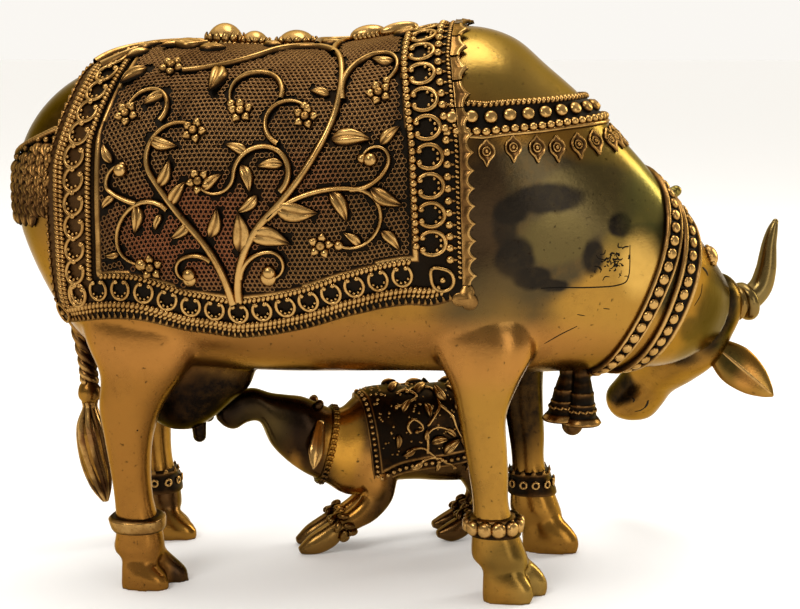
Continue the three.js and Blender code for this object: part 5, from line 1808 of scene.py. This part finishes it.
def head_relief(bm, kit):
    ear_parts, _, ear_depths = zip(*EAR_SHAPE)
    for side in (1, -1):
        eye = head_place(EYE["along"], side * EYE["spread"], EYE["rise"])
        out = (RIGHT * side * 0.95 + CROWN * 0.3).normalized()
        ball(bm, eye - out * 0.6, (EYE["radius"],) * 3, None, 20, 14)
        for lift, half in ((1, 1.0), (-1, 0.8)):
            rows = []
            for t in np.radians(np.linspace(-80, 80, 15)):
                cos = math.cos(t)
                spot = eye + FACE * (4.6 * math.sin(t)) + CROWN * lift * (2.6 * cos - 0.3)
                rows.append((*(spot + out * (2.0 * cos - 0.2)), half * (0.5 + 0.5 * cos)))
            tube(bm, rows, 8, across=tuple(out))
        root, reach, wide, thick = ear_axes(side)
        rows = []
        for part in np.linspace(0.15, 0.96, 16):
            deep = np.interp(part, ear_parts, ear_depths) * EAR["thick"]
            place = root + reach * part * EAR["length"] + thick * deep * 0.86
            rows.append((*place, 0.7 * math.sin(part * 2.9) + 0.1))
        tube(bm, rows, 8, across=tuple(wide))
    # Frontlet on the poll, and beads down the brow
    top = head_place(2, 0, HEAD[2][2] - 2)
    out = (CROWN * 0.8 - FACE * 0.6).normalized()
    ball(bm, top, (4.6, 4.6, 2.4), (RIGHT, out.cross(RIGHT), out), 20, 12)
    for k in range(FRONTLET_PETALS):
        way = Matrix.Rotation(math.radians(k * 360 / FRONTLET_PETALS), 3, out) @ RIGHT
        kit["petal"].lay(bm, top + way * 3.0 + out * 1.2, way, out, 3.0)
    kit["collar_bead"].lay(bm, top + out * 2.2, RIGHT, out, 2.0)
    for along in np.linspace(10, 34, 8):
        rise = np.interp(along, [row[0] for row in HEAD], [row[2] + row[3] for row in HEAD])
        kit["bead"].lay(bm, head_place(along, 0, rise - 0.3), FACE, CROWN, 1.5)


# Engraved lines, scratches and creases on the near side: thin dark lines almost flush with the skin, by
# radius and places in x and z. Their dark is painted shade, standing in for carved grooves
GROOVE_SHADE_LINES = [
    (0.3, [(47, 101), (52.7, 101), (61.8, 100.6), (70.5, 100.9), (73.6, 103.5), (73.8, 113.4)]),
    (0.28, [(48, 82.5), (53, 85.5), (58, 88)]),
    (0.22, [(58, 92), (60.4, 91.4)]), (0.22, [(66, 93.6), (68, 93.2)]),
    (0.55, [(83.2, 48.4), (82.9, 46.6), (82.2, 44.9)]), (0.35, [(82.4, 45.4), (80.8, 43.9), (78.6, 43.2)]),
    (0.42, [(77.2, 49.2), (78.2, 48.5), (77.9, 47.3)]), (0.45, [(-80.4, 53.6), (-80, 53.2)]),
    (0.55, [(97.4, 104.2), (98.6, 102.8), (99.4, 101.2)]), (0.3, [(95, 92), (97, 95.5), (97.4, 99)]),
]


SCRATCHES = {"seed": 11, "count": 46, "middle": (68.2, 107.6), "spread": (2.7, 2.6)}


def scratches():
    """Short strokes in a cluster on the shoulder."""
    chance = np.random.default_rng(SCRATCHES["seed"])
    strokes = []
    for _ in range(SCRATCHES["count"]):
        spot = np.array(SCRATCHES["middle"]) + chance.normal(0, 1, 2) * SCRATCHES["spread"]
        reach = chance.uniform(0.3, 1.4)
        way = chance.uniform(0, 2 * math.pi)
        bend = chance.uniform(-0.8, 0.8)
        turns = [way + bend * k for k in (-1, 0, 1)]
        line = [
            tuple(spot + reach * np.array((math.cos(turn), math.sin(turn))) * k)
            for turn, k in zip(turns, (-1, 0, 1))
        ]
        strokes.append((chance.uniform(0.16, 0.42), line))
    return strokes


def marks(bm, tree):
    for radius, line in GROOVE_SHADE_LINES + scratches():
        count = max(4 * len(line), 6)
        places = []
        for share, (x, z) in zip(np.linspace(0, 1, count), curve_through(line, count)):
            spot, normal = tree.ray_cast(Vector((x, -80, z)), Vector((0, 1, 0)))[:2]
            thin = radius * (0.25 + 0.75 * math.sin(math.pi * (0.08 + 0.84 * share)) ** 0.5)
            places.append((*(spot - normal * thin * 0.55), thin))
        # Each line is painted fully dark, as the shade of a groove
        paint_wear_and_shade(bm, tube(bm, places, 8, across=tuple(normal)), 0)


BOSS_PLACE, BOSS_BEADS = Vector((101, 12, 107)), 8


def neck_boss(bm, kit, tree):
    """A small beaded boss that stands up behind the collar, on the crest of the neck."""
    spot, out = tree.find_nearest(BOSS_PLACE)[:2]
    along = out.orthogonal()
    ball(bm, spot + out * 0.3, (2.6, 2.6, 2.2), (along, out.cross(along), out), 16, 10)
    for k in range(BOSS_BEADS):
        spoke = Matrix.Rotation(math.radians(k * 360 / BOSS_BEADS), 3, out) @ along.normalized()
        kit["bead"].lay(bm, spot + spoke * 2.9 + out * 0.2, spoke, out, 1.0)


# The calf's cloth, collar, ears, anklets and horn buds, on its own axes

def on_calf(t, angle, lift=0.0):
    """Places on the calf's trunk, by section and degrees from the ridge."""
    point, forward, around, inward = skin_frames(CALF_TRUNK, t, np.radians(angle))
    out = -inward
    return point + out * np.reshape(lift, (-1, 1)), forward, around, out


# Sections of the front edge on the ridge, of its slant towards the hem and of the rear edge,
# degrees down to the hem in front and how much it rises behind, and millimetres for the rest
CALF_CLOTH = {
    "front": 10.9, "slant": 0.95, "rear": 17.2, "drop": 142, "rise": 34,
    "lift": 0.8, "long": 46, "half_round": 29,
}
# Millimetres of the row of beads from the edge
CALF_BEADS_IN = 2.2
# Stems and leaves: millimetres behind the front edge and degrees from the ridge
CALF_STEMS = [
    [(20.5, 120), (22, 114), (24.5, 110), (28, 110), (30.5, 116), (32.5, 118), (34, 122)],
    [(16, 102), (19, 98), (22, 98), (24.5, 104), (27, 110)],
    [(23.5, 104), (23.5, 94), (23.5, 82), (25, 76), (27.5, 74), (30, 76), (32.5, 80)],
    [(36, 90), (37.5, 98), (40, 100), (41.5, 108), (40.5, 118)],
    [(17.5, 80), (16.5, 74), (17, 68), (19, 64), (21.5, 70), (21.5, 76), (19.5, 78)],
    [(23.5, 72), (26.5, 60), (28.5, 48), (27, 20), (22, 14), (18, 26)],
    [(27.5, 122), (27.5, 119), (29, 112)],
    [(28.5, 48), (32.5, 62), (34, 76), (36, 88)],
    [(14, 30), (18, 22), (21, 34), (17, 44), (13, 50)],
    [(33, 20), (37, 36), (41, 30), (42, 50), (38, 62)],
]
CALF_LEAVES = [
    (22, 114, 18.5, 123), (19, 98, 15.5, 106), (30, 76, 33, 84), (24.5, 92, 30, 87), (23.5, 90, 23, 78),
    (29.5, 106, 34, 88), (36, 90, 39, 101), (35, 80, 39, 70), (28, 116, 27.5, 124), (40.5, 116, 39, 124),
    (39, 82, 42, 87), (15, 56, 17.5, 42), (23.5, 44, 24.5, 60), (31, 44, 28, 24), (34.5, 58, 36, 40),
    (21, 28, 25, 10), (33, 20, 37, 6), (13, 80, 13, 94), (12, 24, 15, 8),
]


def calf_spot(back, drop):
    """Section and angle of places on the calf's cloth."""
    sections = np.linspace(CALF_CLOTH["front"], CALF_CLOTH["rear"], 60)
    rows = blended(CALF_TRUNK, sections)
    middle = (rows[:, 0] + rows[:, 2]) / 2
    t = np.interp(np.asarray(back, float), middle[0] - middle, sections)
    return t, np.asarray(drop, float)


def on_calf_cloth(s, u):
    """Section and angle at shares of the way back from the front edge and down from the ridge."""
    front = CALF_CLOTH["front"] + CALF_CLOTH["slant"] * np.abs(u)
    return front + (CALF_CLOTH["rear"] - front) * s, u * (CALF_CLOTH["drop"] - CALF_CLOTH["rise"] * s)


def calf_cloth(bm):
    cloth = CALF_CLOTH

    def profile(s, a):
        edge_t = np.minimum(s, 1 - s) * cloth["long"]
        edge_a = np.minimum(a, 1 - a) * 2 * cloth["half_round"]
        edge = np.minimum(edge_t, edge_a)
        rim = bump_line(edge, 0.5, 0.4, 0.5) + bump_line(edge, 3.9, 0.4, 0.5)
        lift = np.where(edge < ON_EDGE, -0.5, cloth["lift"] + rim)
        return lift, np.clip(0.33 + 0.45 * (rim > 0.2), 0, 1)

    def place(s, a):
        return on_calf(*on_calf_cloth(s, a * 2 - 1), profile(s, a)[0])[0]

    mapped_grid(bm, 96, 170, place, lambda s, a: profile(s, a)[1])


STIPPLING = {"seed": 5, "count": 150, "from": (0.11, 0.02), "to": (0.97, 0.84), "sizes": (0.3, 0.55)}


def calf_relief(bm, kit):
    calf_cloth(bm)
    chance = np.random.default_rng(STIPPLING["seed"])
    for side in (1, -1):
        way = np.linspace(0, 1, 80)
        front = on_calf_cloth(CALF_BEADS_IN / CALF_CLOTH["long"], 0.03 + 0.88 * way)
        lay_line(bm, kit["bead"], on_calf, *front, 2.0, 1.0, 0.75, side=side)
        down = np.full(len(way), 1 - CALF_BEADS_IN / CALF_CLOTH["half_round"])
        low = on_calf_cloth(0.05 + 0.93 * way, down)
        lay_line(bm, kit["bead"], on_calf, *low, 2.3, 1.0, 0.9, side=side)
        for spots in CALF_STEMS:
            line = curve_through(spots, 8 * len(spots))
            t, drop = calf_spot(line[:, 0], line[:, 1])
            points, _, _, outs = on_calf(t, drop * side, 0.9)
            rows = np.column_stack([points + outs * 0.3, np.linspace(0.6, 0.42, len(points))])
            tube(bm, rows, 6, across=outs)
            ball(bm, points[-1] + outs[-1] * 0.4, (0.85, 0.85, 0.8), None, 8, 6)
        for back, drop, tip_back, tip_drop in CALF_LEAVES:
            t, a = calf_spot([back, tip_back], np.array([drop, tip_drop]) * side)
            points, _, _, outs = on_calf(t, a, 1.0)
            way = Vector(points[1] - points[0])
            size = way.length + 1.2
            kit["leaf"].lay(bm, points[0], way, outs[0], (size, size * 1.15, size * 1.3), side)
        # The ground between the stems is stippled
        for s, u in chance.uniform(STIPPLING["from"], STIPPLING["to"], (STIPPLING["count"], 2)):
            point, forward, _, out = one_place(on_calf, *on_calf_cloth(s, u * side), 0.75)
            kit["bead"].lay(bm, point, forward, out, chance.uniform(*STIPPLING["sizes"]))
    for side in (1, -1):
        calf_ear(bm, side)


# Section of the calf's collar on top and under the throat, and of its horn buds
CALF_COLLAR, CALF_BROW = (9.3, 8.35), 7.9


def calf_trims(bm, kit):
    # Collar of two rows of small beads
    collar = collar_line(*CALF_COLLAR, 1)
    skin_band(bm, on_calf, (shifted(collar, -0.24), shifted(collar, 0.24)), 100, 1.0, 0.6)
    s = np.linspace(0, 1, 200)
    for by in (-0.1, 0.11):
        lay_line(bm, kit["bead"], on_calf, *shifted(collar, by)(s), 1.9, 0.7, 0.8)
    for side in (1, -1):
        point, forward, _, out = one_place(on_calf, CALF_BROW, 26 * side, 0.3)
        ball(bm, point, (1.8, 1.8, 2.6), (forward, out.cross(forward), out), 14, 10)
    calf_anklets(bm)


CALF_EAR = {
    "length": 15.5, "width": 2.9, "thick": 1.5,
    "shape": [(-0.1, 0.5), (0.25, 0.85), (0.6, 1), (0.85, 0.6), (1, 0.1)],
}


def calf_ear(bm, side):
    point, forward, around, out = one_place(on_calf, CALF_BROW, 62 * side)
    reach = (around * side + forward * -0.27 + out * 0.16).normalized()
    wide = reach.cross(out).normalized()
    thick = wide.cross(reach)
    rings = [
        (
            *(point + reach * part * CALF_EAR["length"] + out * 0.6),
            *(wide * CALF_EAR["width"] * width),
            *(thick * CALF_EAR["thick"] * max(width, 0.3)),
        )
        for part, width in CALF_EAR["shape"]
    ]
    ring_stack(bm, rings, 18, steps=5)


# Row of the leg that carries the anklet, and the knots in each of its two rings
ANKLET_ROW, ANKLET_KNOTS = 6, 7


def calf_anklets(bm):
    for leg in CALF_LEGS:
        path = np.array(calf_leg_path(leg))
        before, row, after = path[ANKLET_ROW - 1:ANKLET_ROW + 2]
        way = Vector(after[:3] - before[:3]).normalized()
        side = Vector((0, 1, 0))
        out = way.cross(side)
        centre = Vector(row[:3]) - way * 1.0
        for ring in (-1, 1):
            for k in range(ANKLET_KNOTS):
                turn = (k + 0.5 * (ring > 0)) / ANKLET_KNOTS * 2 * math.pi
                spoke = side * math.cos(turn) + out * math.sin(turn)
                place = centre + way * ring * 1.7 + spoke * (row[3] + 0.7)
                skew = (way + spoke.cross(way) * 0.9 * ring).normalized()
                ball(bm, place, (2.3, 1.25, 1.3), (skew, spoke.cross(skew), spoke), 12, 8)


def carved(*steps):
    """A mesh made by one maker after another, each given with what it needs."""
    bm = new_mesh()
    for make, *needs in steps:
        make(bm, *needs)
    return bm


def build():
    # Cast brass, stroked smooth for years: a warm soft gloss under brown clouds and stains, with painted
    # shade in its hollows and creases, and painted shade and highlights among its blots
    body_brass = aged_brass("rubbed_cast_brass", POLISHED, POLISH, blots=COW_BLOTS)
    # Chased brass shows bright rubbed tops over nearly black hollows, dark with patina and painted shade
    relief_brass = aged_brass(
        "chased_relief_brass", RELIEF, POLISH, grime=1.3, blots=RELIEF_BLOTS, bump=0.35,
    )
    # The net's fine wire stays brown and dull, over holes painted near black for grime and for the shade
    # inside them
    net_brass = aged_brass("dark_net_brass", NET, NET_POLISH, grime=1.4, blots=NET_BLOTS)
    # The calf's brass has a dark patina, lighter where rubbed, with painted shade on its head under the udder
    # and painted glints on its shoulder and front leg
    calf_brass = aged_brass("dark_patina_brass", PATINA, POLISH, grime=1.2, blots=CALF_BLOTS)
    kit = make_ornaments()

    cow = one_skin(cow_shells(), "cow_body", voxel=1.15, smoothing=6)
    flat_soles(cow)
    calf = one_skin(calf_shells(), "calf_body", voxel=0.6, smoothing=5)
    tree = BVHTree.FromBMesh(cow)
    for bm in (cow, calf):
        paint_wear_and_shade(bm, bm.verts, 1)
    # The body darkens in its hollows, creases and undersides by their openness: painted shade, with patina
    darken_hollows(cow, tree, reach=22)
    add_piece(cow, "cow_body", body_brass, "cow")
    add_piece(calf, "calf_body", calf_brass, "calf", CALF_TO_COW)

    pieces = [
        ("engraved_marks", relief_brass, (marks, tree), (neck_boss, kit, tree)),
        ("horns_ears_teats", body_brass, (horns_ears_teats,)),
        ("saddlecloth", relief_brass, (cloth_sheet,)),
    ]
    for side, name in ((1, "near"), (-1, "far")):
        pieces += [
            ("net_" + name, net_brass, (net, kit, side)),
            ("borders_" + name, relief_brass, (cloth_borders, kit, side), (cloth_corners, kit, side)),
            ("vines_" + name, relief_brass, (vines, kit, side)),
        ]
    pieces += [
        ("ridge_relief", relief_brass, (ridge_relief, kit)),
        ("shoulder_band", relief_brass, (shoulder_band, kit)),
        ("collars", relief_brass, (collars, kit)),
        ("bells", relief_brass, (bells, kit)),
        ("anklets", relief_brass, (cuffs, kit)),
        # The tail gets painted shade between its strands and beside the body
        ("tail_relief", relief_brass, (tail_relief, kit), (darken_tail, tree)),
        ("head_relief", relief_brass, (head_relief, kit)),
    ]
    for name, material, *steps in pieces:
        add_piece(carved(*steps), name, material)
    for name, material, make in (
        ("calf_relief", relief_brass, calf_relief), ("calf_trims", calf_brass, calf_trims),
    ):
        add_piece(carved((make, kit)), name, material, to_cow=CALF_TO_COW)


studio()
camera()
build()
bpy.context.view_layer.update()
